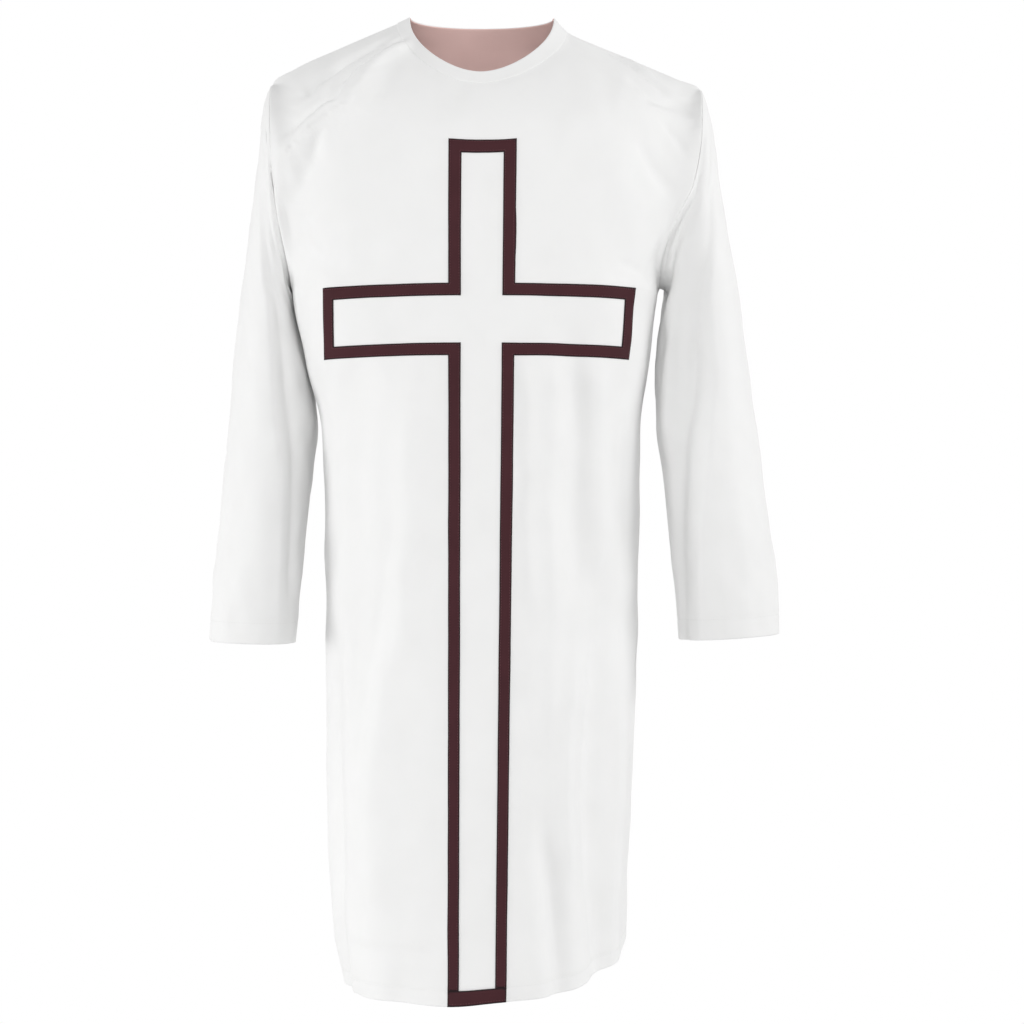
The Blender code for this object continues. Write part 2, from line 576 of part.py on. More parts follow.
def main():
    """Builds every piece."""
    for old in list(bpy.data.objects):
        bpy.data.objects.remove(old)
    white, maroon, rose = (material(*finish) for finish in (WHITE_CLOTH, MAROON_TAPE, ROSE_FACING))
    body = build_body(white)
    build_neck(body, white, rose)
    build_cross(body[FRONT], maroon)
    build_sleeve("sleeve_right", RIGHT, body, white)
    build_sleeve("sleeve_left", LEFT, body, white)


main()
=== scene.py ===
"""The surcoat as it is worn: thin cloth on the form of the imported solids, with folds, seams, hems and stitches.

Metres, +Z up, the front facing -Y, "right" being the wearer's right at -X. Folds are tabled in millimetres.
"""

from __future__ import annotations

import logging
from dataclasses import dataclass, field
from enum import Enum

import bpy
import numpy as np
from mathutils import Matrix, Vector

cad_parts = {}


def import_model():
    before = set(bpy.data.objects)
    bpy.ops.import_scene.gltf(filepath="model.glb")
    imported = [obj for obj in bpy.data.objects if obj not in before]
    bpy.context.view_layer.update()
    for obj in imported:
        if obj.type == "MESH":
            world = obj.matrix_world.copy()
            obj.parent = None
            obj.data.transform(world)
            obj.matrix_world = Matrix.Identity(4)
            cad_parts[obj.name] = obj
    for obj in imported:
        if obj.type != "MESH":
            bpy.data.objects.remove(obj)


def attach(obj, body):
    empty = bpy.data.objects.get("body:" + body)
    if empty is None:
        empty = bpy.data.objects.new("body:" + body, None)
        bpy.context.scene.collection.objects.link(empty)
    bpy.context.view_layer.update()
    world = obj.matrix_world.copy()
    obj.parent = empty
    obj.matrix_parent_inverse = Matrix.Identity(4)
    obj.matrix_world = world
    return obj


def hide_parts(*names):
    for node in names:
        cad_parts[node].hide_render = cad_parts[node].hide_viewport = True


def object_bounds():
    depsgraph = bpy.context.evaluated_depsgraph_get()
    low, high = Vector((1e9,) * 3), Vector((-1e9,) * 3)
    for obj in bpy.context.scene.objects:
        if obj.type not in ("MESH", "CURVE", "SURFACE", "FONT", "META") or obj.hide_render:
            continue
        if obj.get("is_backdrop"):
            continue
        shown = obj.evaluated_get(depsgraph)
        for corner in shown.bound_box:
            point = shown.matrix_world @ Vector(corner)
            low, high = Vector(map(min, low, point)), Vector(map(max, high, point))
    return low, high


LOG = logging.getLogger("surcoat")
MM = 0.001
BODY = "root"


class Side(Enum):
    """The wearer's sides. The value is the sign of X there."""

    RIGHT = -1
    LEFT = 1


class Face(Enum):
    """The front and the back. The value is the sign of Y there."""

    FRONT = -1
    BACK = 1


class Edge(Enum):
    """An edge of a piece of cloth, whose grid has rows that run down and columns that run across."""

    TOP = "top"
    BOTTOM = "bottom"
    START = "start"
    END = "end"


def through(knots: np.ndarray, values: np.ndarray, at: np.ndarray) -> np.ndarray:
    """A smooth curve through values at knots, which never swings past them.

    Args:
        knots: Rising places.
        values: The value at each of them.
        at: The places that are asked for.

    Returns:
        The value at each of those.
    """
    knots, values, at = (np.asarray(x, float) for x in (knots, values, at))
    steps = np.diff(knots)
    slopes = np.diff(values) / steps
    before, after = slopes[:-1], slopes[1:]
    same_way = before * after > 0
    safe = np.where(same_way, before, 1.0), np.where(same_way, after, 1.0)
    near, far = 2 * steps[1:] + steps[:-1], steps[1:] + 2 * steps[:-1]
    inner = np.where(same_way, (near + far) / (near / safe[0] + far / safe[1]), 0.0)
    tangents = np.concatenate([slopes[:1], inner, slopes[-1:]])
    i = np.clip(np.searchsorted(knots, at, side="right") - 1, 0, len(steps) - 1)
    u = (at - knots[i]) / steps[i]
    return (
        values[i] * (1 + 2 * u) * (1 - u) ** 2
        + steps[i] * tangents[i] * u * (1 - u) ** 2
        + values[i + 1] * u**2 * (3 - 2 * u)
        + steps[i] * tangents[i + 1] * u**2 * (u - 1)
    )


def eased(share: np.ndarray) -> np.ndarray:
    """A smooth rise from 0 to 1 as the share goes from 0 to 1."""
    share = np.clip(share, 0.0, 1.0)
    return share**2 * (3 - 2 * share)


def unit(vectors: np.ndarray) -> np.ndarray:
    """The same vectors, each 1 long."""
    return vectors / np.maximum(np.linalg.norm(vectors, axis=-1, keepdims=True), 1e-12)


def outward(grid: np.ndarray, closed: bool = False) -> np.ndarray:
    """The unit normal at each point of a grid.

    Args:
        grid: Points, with rows that run down and columns that run anticlockwise from above.
        closed: Whether the last column meets the first.

    Returns:
        The normals, facing out of the garment.
    """
    if closed:
        across = np.roll(grid, -1, axis=1) - np.roll(grid, 1, axis=1)
    else:
        across = np.gradient(grid, axis=1)
    return unit(np.cross(np.gradient(grid, axis=0), across))


def travelled(points: np.ndarray) -> np.ndarray:
    """How far each point of a line, or each row of a grid down its columns, lies from the first."""
    steps = np.linalg.norm(np.diff(points, axis=0), axis=-1)
    return np.concatenate([np.zeros_like(steps[:1]), np.cumsum(steps, axis=0)])


def ringed(grid: np.ndarray) -> np.ndarray:
    """The grid of a ring, with its first column again at its end."""
    return np.concatenate([grid, grid[:, :1]], axis=1)


def finely(keys: list[float], counts: list[int]) -> tuple[np.ndarray, list[int]]:
    """Cuts the stretches between keys into equal steps.

    Args:
        keys: Places in order.
        counts: How many steps each stretch between them gets.

    Returns:
        All places, and the index of each key among them.
    """
    places, marks = [keys[:1]], [0]
    for start, end, count in zip(keys, keys[1:], counts):
        places.append(np.linspace(start, end, count + 1)[1:])
        marks.append(marks[-1] + count)
    return np.concatenate(places), marks


@dataclass(frozen=True)
class Fold:
    """A fold that follows a line over the cloth.

    Args:
        path: (across, up, height) at each point of the line, in millimetres. A trough has heights below 0.
        before: How wide the fold is on the side of lower values across, where its line runs down.
        after: How wide it is on the other side.
        power: 2 is soft, and lower is sharper.
    """

    path: tuple[tuple[float, float, float], ...]
    before: float
    after: float
    power: float = 2.0

    def height(self, across: np.ndarray, up: np.ndarray) -> np.ndarray:
        """How far the fold moves the cloth outward.

        Args:
            across: Distance over the cloth, in metres.
            up: Height or distance up, in metres.

        Returns:
            The height of the fold at each place, in metres.
        """
        line = np.array(self.path) * MM
        nearest = np.full(across.shape, np.inf)
        tall, aside = np.zeros_like(nearest), np.zeros_like(nearest)
        for (x0, y0, h0), (x1, y1, h1) in zip(line, line[1:]):
            run = x1 - x0, y1 - y0
            share = np.clip(((across - x0) * run[0] + (up - y0) * run[1]) / (run[0] ** 2 + run[1] ** 2), 0, 1)
            dx, dy = across - x0 - share * run[0], up - y0 - share * run[1]
            far = np.hypot(dx, dy)
            closer = far < nearest
            nearest = np.where(closer, far, nearest)
            tall = np.where(closer, h0 + (h1 - h0) * share, tall)
            aside = np.where(closer, run[0] * dy - run[1] * dx, aside)
        width = np.where(aside < 0, self.before, self.after) * MM
        rounded = np.sqrt(nearest**2 + (0.8 * MM) ** 2) - 0.8 * MM
        return tall * np.exp(-((rounded / width) ** self.power))


def folds_height(folds: tuple[Fold, ...], across: np.ndarray, up: np.ndarray) -> np.ndarray:
    """What all these folds move the cloth outward by, in metres."""
    return sum((fold.height(across, up) for fold in folds), np.zeros_like(across))


@dataclass(frozen=True)
class Drape:
    """The small, soft unevenness of cloth that hangs.

    Args:
        seed: Where its random draws start.
        high: How far it stands out at most places, in metres.
        shortest: The shortest distance between its crests.
        longest: The longest one.
        upright: How much its crests run up and down. 0 is any way, and 1 is upright.
        count: How many waves it is made of.
    """

    seed: int
    high: float
    shortest: float = 0.028
    longest: float = 0.100
    upright: float = 0.6
    count: int = 18

    def height(self, across: np.ndarray, up: np.ndarray) -> np.ndarray:
        """How far it moves the cloth outward.

        Args:
            across: Distance over the cloth, in metres.
            up: Height or distance up, in metres.

        Returns:
            The height at each place, in metres.
        """
        random = np.random.default_rng(self.seed)
        total = np.zeros_like(across)
        for _ in range(self.count):
            length = random.uniform(self.shortest, self.longest)
            turn = random.normal(0.0, np.pi / 2) * (1 - self.upright)
            start = random.uniform(0.0, 2 * np.pi)
            wave = np.cos(2 * np.pi * (across * np.cos(turn) + up * np.sin(turn)) / length + start)
            total += wave * length / self.longest
        return total * self.high / np.sqrt(self.count / 2)


@dataclass
class Cloth:
    """A piece of cloth as a grid of points on its outer side.

    Args:
        points: Rows, columns and x, y, z.
        normals: The way outward at each point.
        over: Rows, columns, and the distance over the cloth across and down.
    """

    points: np.ndarray
    normals: np.ndarray
    over: np.ndarray

    def raised(self, by: float) -> Cloth:
        """The same cloth, moved outward."""
        return Cloth(self.points + self.normals * by, self.normals, self.over)

    def part(self, rows: slice, columns: slice = slice(None)) -> Cloth:
        """Some rows and columns of it."""
        return Cloth(*(a[rows, columns] for a in (self.points, self.normals, self.over)))

    def at(self, row: np.ndarray, column: np.ndarray) -> tuple[np.ndarray, np.ndarray]:
        """Points and normals at places between the grid's lines.

        Args:
            row: Fractional rows.
            column: Fractional columns.

        Returns:
            Points, and unit normals.
        """
        r = np.clip(np.floor(row).astype(int), 0, self.points.shape[0] - 2)
        c = np.clip(np.floor(column).astype(int), 0, self.points.shape[1] - 2)
        u, v = (row - r)[:, None], (column - c)[:, None]
        found = []
        for a in (self.points, self.normals):
            top = a[r, c] * (1 - v) + a[r, c + 1] * v
            foot = a[r + 1, c] * (1 - v) + a[r + 1, c + 1] * v
            found.append(top * (1 - u) + foot * u)
        return found[0], unit(found[1])


@dataclass(frozen=True)
class Turn:
    """How an edge of cloth rolls over and lies back inside.

    Args:
        steps: (distance from the edge, depth under the outer side) in millimetres, from the plain cloth on.
    """

    steps: tuple[tuple[float, float], ...]

    @staticmethod
    def laid(array: np.ndarray, edge: Edge, back: bool = False) -> np.ndarray:
        """Lays an array so that an edge is its first row.

        Args:
            array: An array of rows and columns.
            edge: The edge.
            back: Whether to lay it back as it was instead.

        Returns:
            The same array, seen that way.
        """
        flip = edge in (Edge.BOTTOM, Edge.END)
        swap = edge in (Edge.START, Edge.END)
        if back:
            array = array[::-1] if flip else array
            return array.swapaxes(0, 1) if swap else array
        array = array.swapaxes(0, 1) if swap else array
        return array[::-1] if flip else array

    def applied(self, cloth: Cloth, edge: Edge) -> Cloth:
        """Turns an edge of the cloth.

        Args:
            cloth: The piece.
            edge: Which of its edges.

        Returns:
            The piece with rows or columns for the turned edge in place of its last ones.
        """
        points, normals, over = (self.laid(a, edge) for a in (cloth.points, cloth.normals, cloth.over))
        gone = travelled(points)
        steps = np.array(self.steps) * MM
        squeeze = np.minimum(1.0, 0.85 * gone[1] / steps[0, 0])
        used = steps[0, 0] - travelled(steps)
        on = unit(over[1] - over[0])
        column = np.arange(points.shape[1])
        rows, outs = [], []
        for away, depth in steps[::-1]:
            reach = away * squeeze if away <= steps[0, 0] else np.full(len(column), away)
            i = np.clip((gone <= reach).sum(axis=0) - 1, 0, len(gone) - 2)
            share = ((reach - gone[i, column]) / (gone[i + 1, column] - gone[i, column]))[:, None]
            out = unit(normals[i, column] * (1 - share) + normals[i + 1, column] * share)
            rows.append(points[i, column] * (1 - share) + points[i + 1, column] * share - out * depth)
            outs.append(out)
        flat = [over[0] + on * distance for distance in used[::-1]]
        pairs = (rows, points), (outs, normals), (flat, over)
        return Cloth(*(self.laid(np.concatenate([new, old[1:]]), edge, back=True) for new, old in pairs))


SEAM = Turn(
    ((1.3, 0.0), (0.7, 0.08), (0.3, 0.3), (0.16, 0.7), (0.2, 1.25), (0.8, 1.65), (4.0, 1.75), (8.0, 1.75))
)
HEM = Turn(
    ((1.6, 0.0), (0.7, 0.12), (0.15, 0.5), (0.0, 0.95), (0.25, 1.45), (0.9, 1.75), (4.0, 1.8), (9.0, 1.8),
     (14.5, 1.8))
)
CUFF_HEM = Turn((*HEM.steps, (19.0, 1.8), (24.0, 1.8)))
BAND_FOLD = Turn(
    ((1.4, 0.0), (0.6, 0.15), (0.1, 0.6), (0.0, 1.0), (0.3, 1.5), (1.0, 1.75), (4.0, 1.8), (12.0, 1.8))
)
JOIN = Turn(((1.2, 0.0), (0.6, 0.1), (0.25, 0.35), (0.2, 0.75)))
BAND_EDGE = Turn(((1.8, 0.0), (0.9, 0.05), (0.3, 0.16), (0.0, 0.34)))
FACING_EDGE = Turn(((1.2, 0.0), (0.5, 0.1), (0.1, 0.4), (0.1, 0.75), (0.5, 1.05), (1.2, 1.1), (4.0, 1.1)))


def linked(name: str, data: bpy.types.ID) -> bpy.types.Object:
    """Makes an object of this data and puts it into the scene."""
    made = bpy.data.objects.new(name, data)
    bpy.context.scene.collection.objects.link(made)
    return made


def shell(name: str, cloth: Cloth, thick: float, cells: np.ndarray | None = None) -> bpy.types.Object:
    """Makes a thin wall of cloth, inward from its outer side.

    Args:
        name: The piece's name.
        cloth: Its outer side.
        thick: How thick the wall is.
        cells: Which cells of the grid to fill, or None for all.

    Returns:
        The object, with its UV map in metres over the cloth.
    """
    rows, columns = cloth.points.shape[:2]
    if cells is None:
        cells = np.ones((rows - 1, columns - 1), bool)
    r, c = np.nonzero(cells)
    corner = r * columns + c
    quads = np.stack([corner, corner + columns, corner + columns + 1, corner + 1], axis=1)
    used, corners = np.unique(quads, return_inverse=True)
    corners = corners.reshape(quads.shape)
    mesh = bpy.data.meshes.new(name)
    mesh.from_pydata(cloth.points.reshape(-1, 3)[used].tolist(), [], corners.tolist())
    uv = mesh.uv_layers.new(name="cloth")
    uv.data.foreach_set("uv", cloth.over.reshape(-1, 2)[quads.ravel()].ravel().astype(np.float32))
    mesh.shade_smooth()
    made = linked(name, mesh)
    wall = made.modifiers.new("wall", "SOLIDIFY")
    wall.thickness = thick
    wall.offset = -1.0
    return made


def plain_mesh(made: bpy.types.Object) -> bpy.types.Object:
    """Turns what an object's modifiers give into its plain mesh.

    Args:
        made: The object.

    Returns:
        The same object, without modifiers.
    """
    graph = bpy.context.evaluated_depsgraph_get()
    mesh = bpy.data.meshes.new_from_object(made.evaluated_get(graph), depsgraph=graph)
    made.modifiers.clear()
    made.data = mesh
    mesh.name = made.name
    return made


class Nodes:
    """A short way to build and join the nodes of a tree."""

    def __init__(self, tree: bpy.types.NodeTree) -> None:
        """Keeps the tree to build in."""
        self.tree = tree

    def add(self, kind: str, settings: dict | None = None, **inputs: object) -> bpy.types.Node:
        """Adds a node.

        Args:
            kind: The node's type.
            settings: Properties of the node itself.
            inputs: Values or sockets for its inputs. A name's underscores stand for spaces.

        Returns:
            The node.
        """
        node = self.tree.nodes.new(kind)
        for name, value in (settings or {}).items():
            setattr(node, name, value)
        self.give(node, **inputs)
        return node

    def feed(self, socket: bpy.types.NodeSocket, value: object) -> None:
        """Joins another node's socket to this one, or sets it to a value."""
        if isinstance(value, bpy.types.NodeSocket):
            self.tree.links.new(value, socket)
        else:
            socket.default_value = value

    def give(self, node: bpy.types.Node, **inputs: object) -> None:
        """Sets a node's inputs by name, in which underscores stand for spaces."""
        for name, value in inputs.items():
            wanted = name.replace("_", " ")
            self.feed(next(s for s in node.inputs if s.name == wanted and s.enabled), value)

    def blend(
        self,
        value: bpy.types.NodeSocket,
        first: tuple[float, ...],
        last: tuple[float, ...],
        at: tuple[float, float] = (0.0, 1.0),
    ) -> bpy.types.NodeSocket:
        """Goes from one colour to another.

        Args:
            value: What it follows.
            first: The colour at the lower value.
            last: The colour at the higher one.
            at: Those two values.

        Returns:
            The colour.
        """
        ramp = self.add("ShaderNodeValToRGB", Fac=value)
        for stop, place, colour in zip(ramp.color_ramp.elements, at, (first, last)):
            stop.position = place
            stop.color = (*colour, 1.0)
        return ramp.outputs[0]

    def ramp(self, value: bpy.types.NodeSocket, at: tuple[float, float], to: tuple[float, float]) -> object:
        """A smooth change from one number to another as the value goes from one place to another."""
        node = self.add("ShaderNodeMapRange", {"interpolation_type": "SMOOTHSTEP"}, Value=value)
        for name, number in zip(("From Min", "From Max", "To Min", "To Max"), (*at, *to)):
            node.inputs[name].default_value = number
        return node.outputs[0]

    def math(self, operation: str, first: object, second: object = 0.0) -> bpy.types.NodeSocket:
        """The result of a Math node on sockets or numbers."""
        node = self.tree.nodes.new("ShaderNodeMath")
        node.operation = operation
        for socket, value in zip(node.inputs, (first, second)):
            self.feed(socket, value)
        return node.outputs[0]


def new_material(name: str) -> tuple[bpy.types.Material, Nodes, bpy.types.Node]:
    """Makes a material, and gives its nodes and its shader too."""
    made = bpy.data.materials.new(name)
    made.use_nodes = True
    return made, Nodes(made.node_tree), made.node_tree.nodes["Principled BSDF"]


@dataclass(frozen=True)
class ClothFinish:
    """Woven cloth, with threads, slubs, soft unevenness and a little sheen.

    Args:
        name: The material's name, which is also the record's slot.
        light: The colour of its lighter places.
        dark: The colour of its darker places.
        thread: The distance between threads.
        rough: Its roughness.
        sheen: How much its fibres shine at a slant.
        uneven: How deep its soft unevenness is.
    """

    name: str
    light: tuple[float, float, float]
    dark: tuple[float, float, float]
    thread: float = 0.0006
    rough: float = 0.85
    sheen: float = 0.12
    uneven: float = 0.00012

    def height(self, nodes: Nodes) -> bpy.types.NodeSocket:
        """The height of the threads, over and under each other, with slubs.

        Args:
            nodes: The nodes of the material.

        Returns:
            The socket of the height.
        """
        over = nodes.add("ShaderNodeUVMap", {"uv_map": "cloth"}).outputs[0]
        waves = []
        for way in ("X", "Y"):
            setting = {"wave_type": "BANDS", "bands_direction": way, "wave_profile": "SIN"}
            wave = nodes.add("ShaderNodeTexWave", setting, Vector=over, Scale=0.1571 / self.thread)
            waves.append(wave.outputs[1])
        slub = nodes.add("ShaderNodeTexNoise", Vector=over, Scale=1400.0, Detail=2.0).outputs[0]
        crossed = nodes.math("ABSOLUTE", nodes.math("SUBTRACT", waves[0], waves[1]))
        return nodes.math("ADD", crossed, nodes.math("MULTIPLY", slub, 0.6))

    def colour(self, nodes: Nodes) -> bpy.types.NodeSocket:
        """The colour, which varies a little from place to place.

        Args:
            nodes: The nodes of the material.

        Returns:
            The socket of the colour.
        """
        where = nodes.add("ShaderNodeTexCoord").outputs["Object"]
        cloud = nodes.add("ShaderNodeTexNoise", Vector=where, Scale=26.0, Detail=3.0, Roughness=0.55)
        over = nodes.add("ShaderNodeUVMap", {"uv_map": "cloth"}).outputs[0]
        fleck = nodes.add("ShaderNodeTexNoise", Vector=over, Scale=700.0, Detail=2.0)
        broad, fine = (nodes.math("MULTIPLY", n.outputs[0], part) for n, part in ((cloud, 0.7), (fleck, 0.3)))
        share = nodes.math("ADD", broad, fine)
        return nodes.blend(share, self.dark, self.light, (0.30, 0.70))

    def build(self) -> bpy.types.Material:
        """Makes the material.

        Returns:
            It, ready to be given to a piece.
        """
        made, nodes, shader = new_material(self.name)
        where = nodes.add("ShaderNodeTexCoord").outputs["Object"]
        soft = nodes.add("ShaderNodeTexNoise", Vector=where, Scale=22.0, Detail=2.0).outputs[0]
        soft_bump = nodes.add("ShaderNodeBump", Strength=1.0, Distance=self.uneven, Height=soft).outputs[0]
        woven = self.height(nodes)
        bump = nodes.add("ShaderNodeBump", Strength=0.35, Distance=0.00008, Height=woven, Normal=soft_bump)
        nodes.give(shader, Base_Color=self.colour(nodes), Normal=bump.outputs[0], Roughness=self.rough)
        nodes.give(shader, Sheen_Weight=self.sheen, Sheen_Roughness=0.45, Specular_IOR_Level=0.25)
        return made


@dataclass(frozen=True)
class TapeFinish(ClothFinish):
    """Woven tape, with painted shade along its edges, where they are folded under.

    Args:
        edge: The colour of the painted shade along its edges.
        edge_width: How wide that is.
    """

    edge: tuple[float, float, float] = (0.022, 0.010, 0.012)
    edge_width: float = 0.0016

    def colour(self, nodes: Nodes) -> bpy.types.NodeSocket:
        """The cloth's colour, with painted shade towards the tape's edges.

        Args:
            nodes: The nodes of the material.

        Returns:
            The socket of the colour.
        """
        # Painted shade: near the tape's edges the colour turns to the dark edge colour.
        inside = nodes.add("ShaderNodeAttribute", {"attribute_name": "edge_distance"}).outputs["Fac"]
        share = nodes.ramp(inside, (self.edge_width * 0.45, self.edge_width * 1.25), (0.0, 1.0))
        mixed = nodes.tree.nodes.new("ShaderNodeMix")
        mixed.data_type = "RGBA"
        ends = [s for s in mixed.inputs if s.type == "RGBA"]
        ends[0].default_value = (*self.edge, 1.0)
        nodes.tree.links.new(share, mixed.inputs[0])
        nodes.tree.links.new(super().colour(nodes), ends[1])
        return next(s for s in mixed.outputs if s.type == "RGBA")


@dataclass(frozen=True)
class ThreadFinish:
    """Sewing thread, with its twist, and painted shade in the twist's grooves.

    Args:
        name: The material's name.
        colour: The thread's colour.
    """

    name: str
    colour: tuple[float, float, float]

    def build(self) -> bpy.types.Material:
        """Makes the material of the thread."""
        made, nodes, shader = new_material(self.name)
        where = nodes.add("ShaderNodeTexCoord").outputs["Object"]
        setting = {"wave_type": "BANDS", "bands_direction": "DIAGONAL"}
        twist = nodes.add("ShaderNodeTexWave", setting, Vector=where, Scale=900.0).outputs[1]
        # Painted shade: the colour is darker in the grooves of the twist, where the bump sinks in.
        colour = nodes.blend(twist, tuple(c * 0.82 for c in self.colour), self.colour)
        bump = nodes.add("ShaderNodeBump", Strength=0.4, Distance=0.00008, Height=twist)
        nodes.give(shader, Base_Color=colour, Normal=bump.outputs[0], Roughness=0.6)
        return made


@dataclass(frozen=True)
class Section:
    """A level of the body: heights, widths and depths of its row, and how the row runs out to the side."""

    level: float
    front_z: float
    back_z: float
    right_z: float
    left_z: float
    right_w: float
    left_w: float
    front_d: float
    back_d: float
    square: float
    stay: float
    meet: float


@dataclass
class Body:
    """The form of the front and the back: level rows from the neckline, level 0, to the hem, level 10."""

    sections: tuple[Section, ...] = (
        Section(0, -0.0395, 0.0390, 0.0360, 0.0355, 0.0820, 0.0830, 0.066, 0.066, 2.0, 1.9, 1.05),
        Section(1, -0.0540, 0.0255, 0.0290, 0.0200, 0.0965, 0.0975, 0.074, 0.073, 2.0, 2.0, 1.10),
        Section(2, -0.0800, -0.0250, -0.0005, -0.0110, 0.1650, 0.1680, 0.092, 0.091, 2.1, 2.3, 1.20),
        Section(2.6, -0.0960, -0.0600, -0.0230, -0.0345, 0.2140, 0.2230, 0.099, 0.099, 2.3, 2.7, 1.30),
        Section(3, -0.1080, -0.0850, -0.0425, -0.0480, 0.2400, 0.2510, 0.104, 0.104, 2.4, 3.1, 1.50),
        Section(4, -0.2815, -0.2800, -0.2860, -0.2840, 0.2140, 0.2010, 0.120, 0.1145, 2.9, 2.5, 2.00),
        Section(4.3, -0.3050, -0.3050, -0.3100, -0.3080, 0.2098, 0.1963, 0.120, 0.1145, 2.9, 2.5, 2.00),
        Section(5, -0.3605, -0.3600, -0.3640, -0.3640, 0.1990, 0.1903, 0.119, 0.1120, 2.8, 2.5, 2.00),
        Section(6, -0.4470, -0.4470, -0.4490, -0.4490, 0.1812, 0.1808, 0.116, 0.1085, 2.6, 2.5, 2.00),
        Section(7, -0.6310, -0.6310, -0.6320, -0.6290, 0.1772, 0.1785, 0.122, 0.116, 2.4, 2.5, 2.00),
        Section(8, -0.8500, -0.8500, -0.8530, -0.8380, 0.1760, 0.1720, 0.132, 0.130, 2.3, 3.0, 2.00),
        Section(9, -0.9800, -0.9800, -0.9860, -0.9440, 0.1708, 0.1662, 0.138, 0.138, 2.2, 3.0, 2.00),
        Section(10, -1.0655, -1.0640, -1.0710, -1.0135, 0.1560, 0.1655, 0.141, 0.142, 2.2, 3.0, 2.00),
    )
    neckline: float = 0.0
    band_edge: float = 1.0
    shoulder: float = 3.0
    underarm: float = 4.0
    bar_foot: float = 5.0
    hem: float = 10.0
    hem_turn: float = 0.0165
    hem_slant: float = 0.105
    slant_reach: float = 0.060
    armhole_depth: float = 0.068
    armhole_shares: tuple[float, ...] = (0.0, 0.25, 0.50, 0.65, 0.80, 0.90, 1.0)
    armholes: dict[tuple[Side, Face], tuple[float, ...]] = field(
        default_factory=lambda: {
            (Side.RIGHT, Face.FRONT): (0.2400, 0.2365, 0.2310, 0.2268, 0.2205, 0.2170, 0.2140),
            (Side.RIGHT, Face.BACK): (0.2400, 0.2395, 0.2365, 0.2320, 0.2245, 0.2195, 0.2140),
            (Side.LEFT, Face.FRONT): (0.2510, 0.2480, 0.2375, 0.2195, 0.2060, 0.2022, 0.2010),
            (Side.LEFT, Face.BACK): (0.2510, 0.2495, 0.2430, 0.2350, 0.2220, 0.2120, 0.2010),
        }
    )
    calm: float = 0.010
    neck_calm: float = 0.030
    round_levels: tuple[float, float] = (1.3, 3.95)
    round_room: float = 0.050
    round_turns: int = 300
    corner_room: tuple[float, float] = (0.040, 0.200)
    corner_turns: int = 200
    skirt_steps: int = 138
    back_half_columns: int = 50

    def __post_init__(self) -> None:
        """Keeps the cross's plan and the rows that are asked for again and again."""
        self.cross = CrossPlan()
        self.knots = [s.level for s in self.sections]

    def size(self, column: str, level: float) -> float:
        """The value of a column of the sections at any level."""
        return float(through(self.knots, [getattr(s, column) for s in self.sections], level))

    def level_at(self, front_z: float) -> float:
        """The level whose centre front is at this height."""
        levels = np.linspace(self.neckline, self.hem, 2001)
        heights = through(self.knots, [s.front_z for s in self.sections], levels)
        return float(np.interp(-front_z, -heights, levels))

    def armhole_angle(self, level: np.ndarray) -> np.ndarray:
        """How far round the armhole seam a level is, from 0 at the shoulder to pi at the underarm."""
        return np.pi * (np.asarray(level) - self.shoulder) / (self.underarm - self.shoulder)

    def row_end(self, side: Side, face: Face, level: float) -> np.ndarray:
        """Where a row ends: on the shoulder seam, the armhole seam or the side seam.

        Args:
            side: Which end.
            face: Front or back.
            level: The row's level.

        Returns:
            The width, depth and height of the row's end.
        """
        name = side.name.lower()
        if not self.shoulder < level < self.underarm:
            return np.array([self.size(name + "_w", level), 0.0, self.size(name + "_z", level)])
        angle = float(self.armhole_angle(level))
        share = (1 - np.cos(angle)) / 2
        top_z, foot_z = (self.size(name + "_z", cut) for cut in (self.shoulder, self.underarm))
        wide = float(through(self.armhole_shares, self.armholes[side, face], share))
        return np.array([wide, self.armhole_depth * np.sin(angle), top_z + (foot_z - top_z) * share])

    def half_row(self, side: Side, face: Face, level: float) -> tuple[np.ndarray, np.ndarray]:
        """Half a row, from the centre line out.

        Args:
            side: Which half.
            face: Front or back.
            level: The row's level.

        Returns:
            Points, and the distance over the cloth to each.
        """
        end = self.row_end(side, face, level)
        name = face.name.lower()
        depth, middle_z = self.size(name + "_d", level), self.size(name + "_z", level)
        square, stay, meet = (self.size(column, level) for column in ("square", "stay", "meet"))
        wide = end[0] / (1 - (end[1] / depth) ** square) ** (1 / square)
        turn = np.linspace(0.0, np.arctan2(end[0], end[1]), 160)
        sine, cosine = np.sin(turn), np.cos(turn)
        reach = (np.abs(sine / wide) ** square + np.abs(cosine / depth) ** square) ** (-1 / square)
        climb = 1 - (1 - np.minimum(turn / (np.pi / 2), 1.0) ** stay) ** meet
        height = middle_z + (end[2] - middle_z) * climb / climb[-1]
        points = np.stack([side.value * reach * sine, face.value * reach * cosine, height], axis=1)
        lengths = travelled(points)
        slant = self.hem_slant * (level / self.hem) ** 12 if face is Face.FRONT else 0.0
        points[:, 2] += slant * side.value * lengths * np.exp(-((lengths / self.slant_reach) ** 2))
        return points, lengths

    def whole_row(self, face: Face, level: float) -> tuple[np.ndarray, np.ndarray]:
        """A row from right to left: points, and how far each lies to the left of the centre line."""
        right, right_s = self.half_row(Side.RIGHT, face, level)
        left, left_s = self.half_row(Side.LEFT, face, level)
        return np.concatenate([right[:0:-1], left]), np.concatenate([-right_s[:0:-1], left_s])

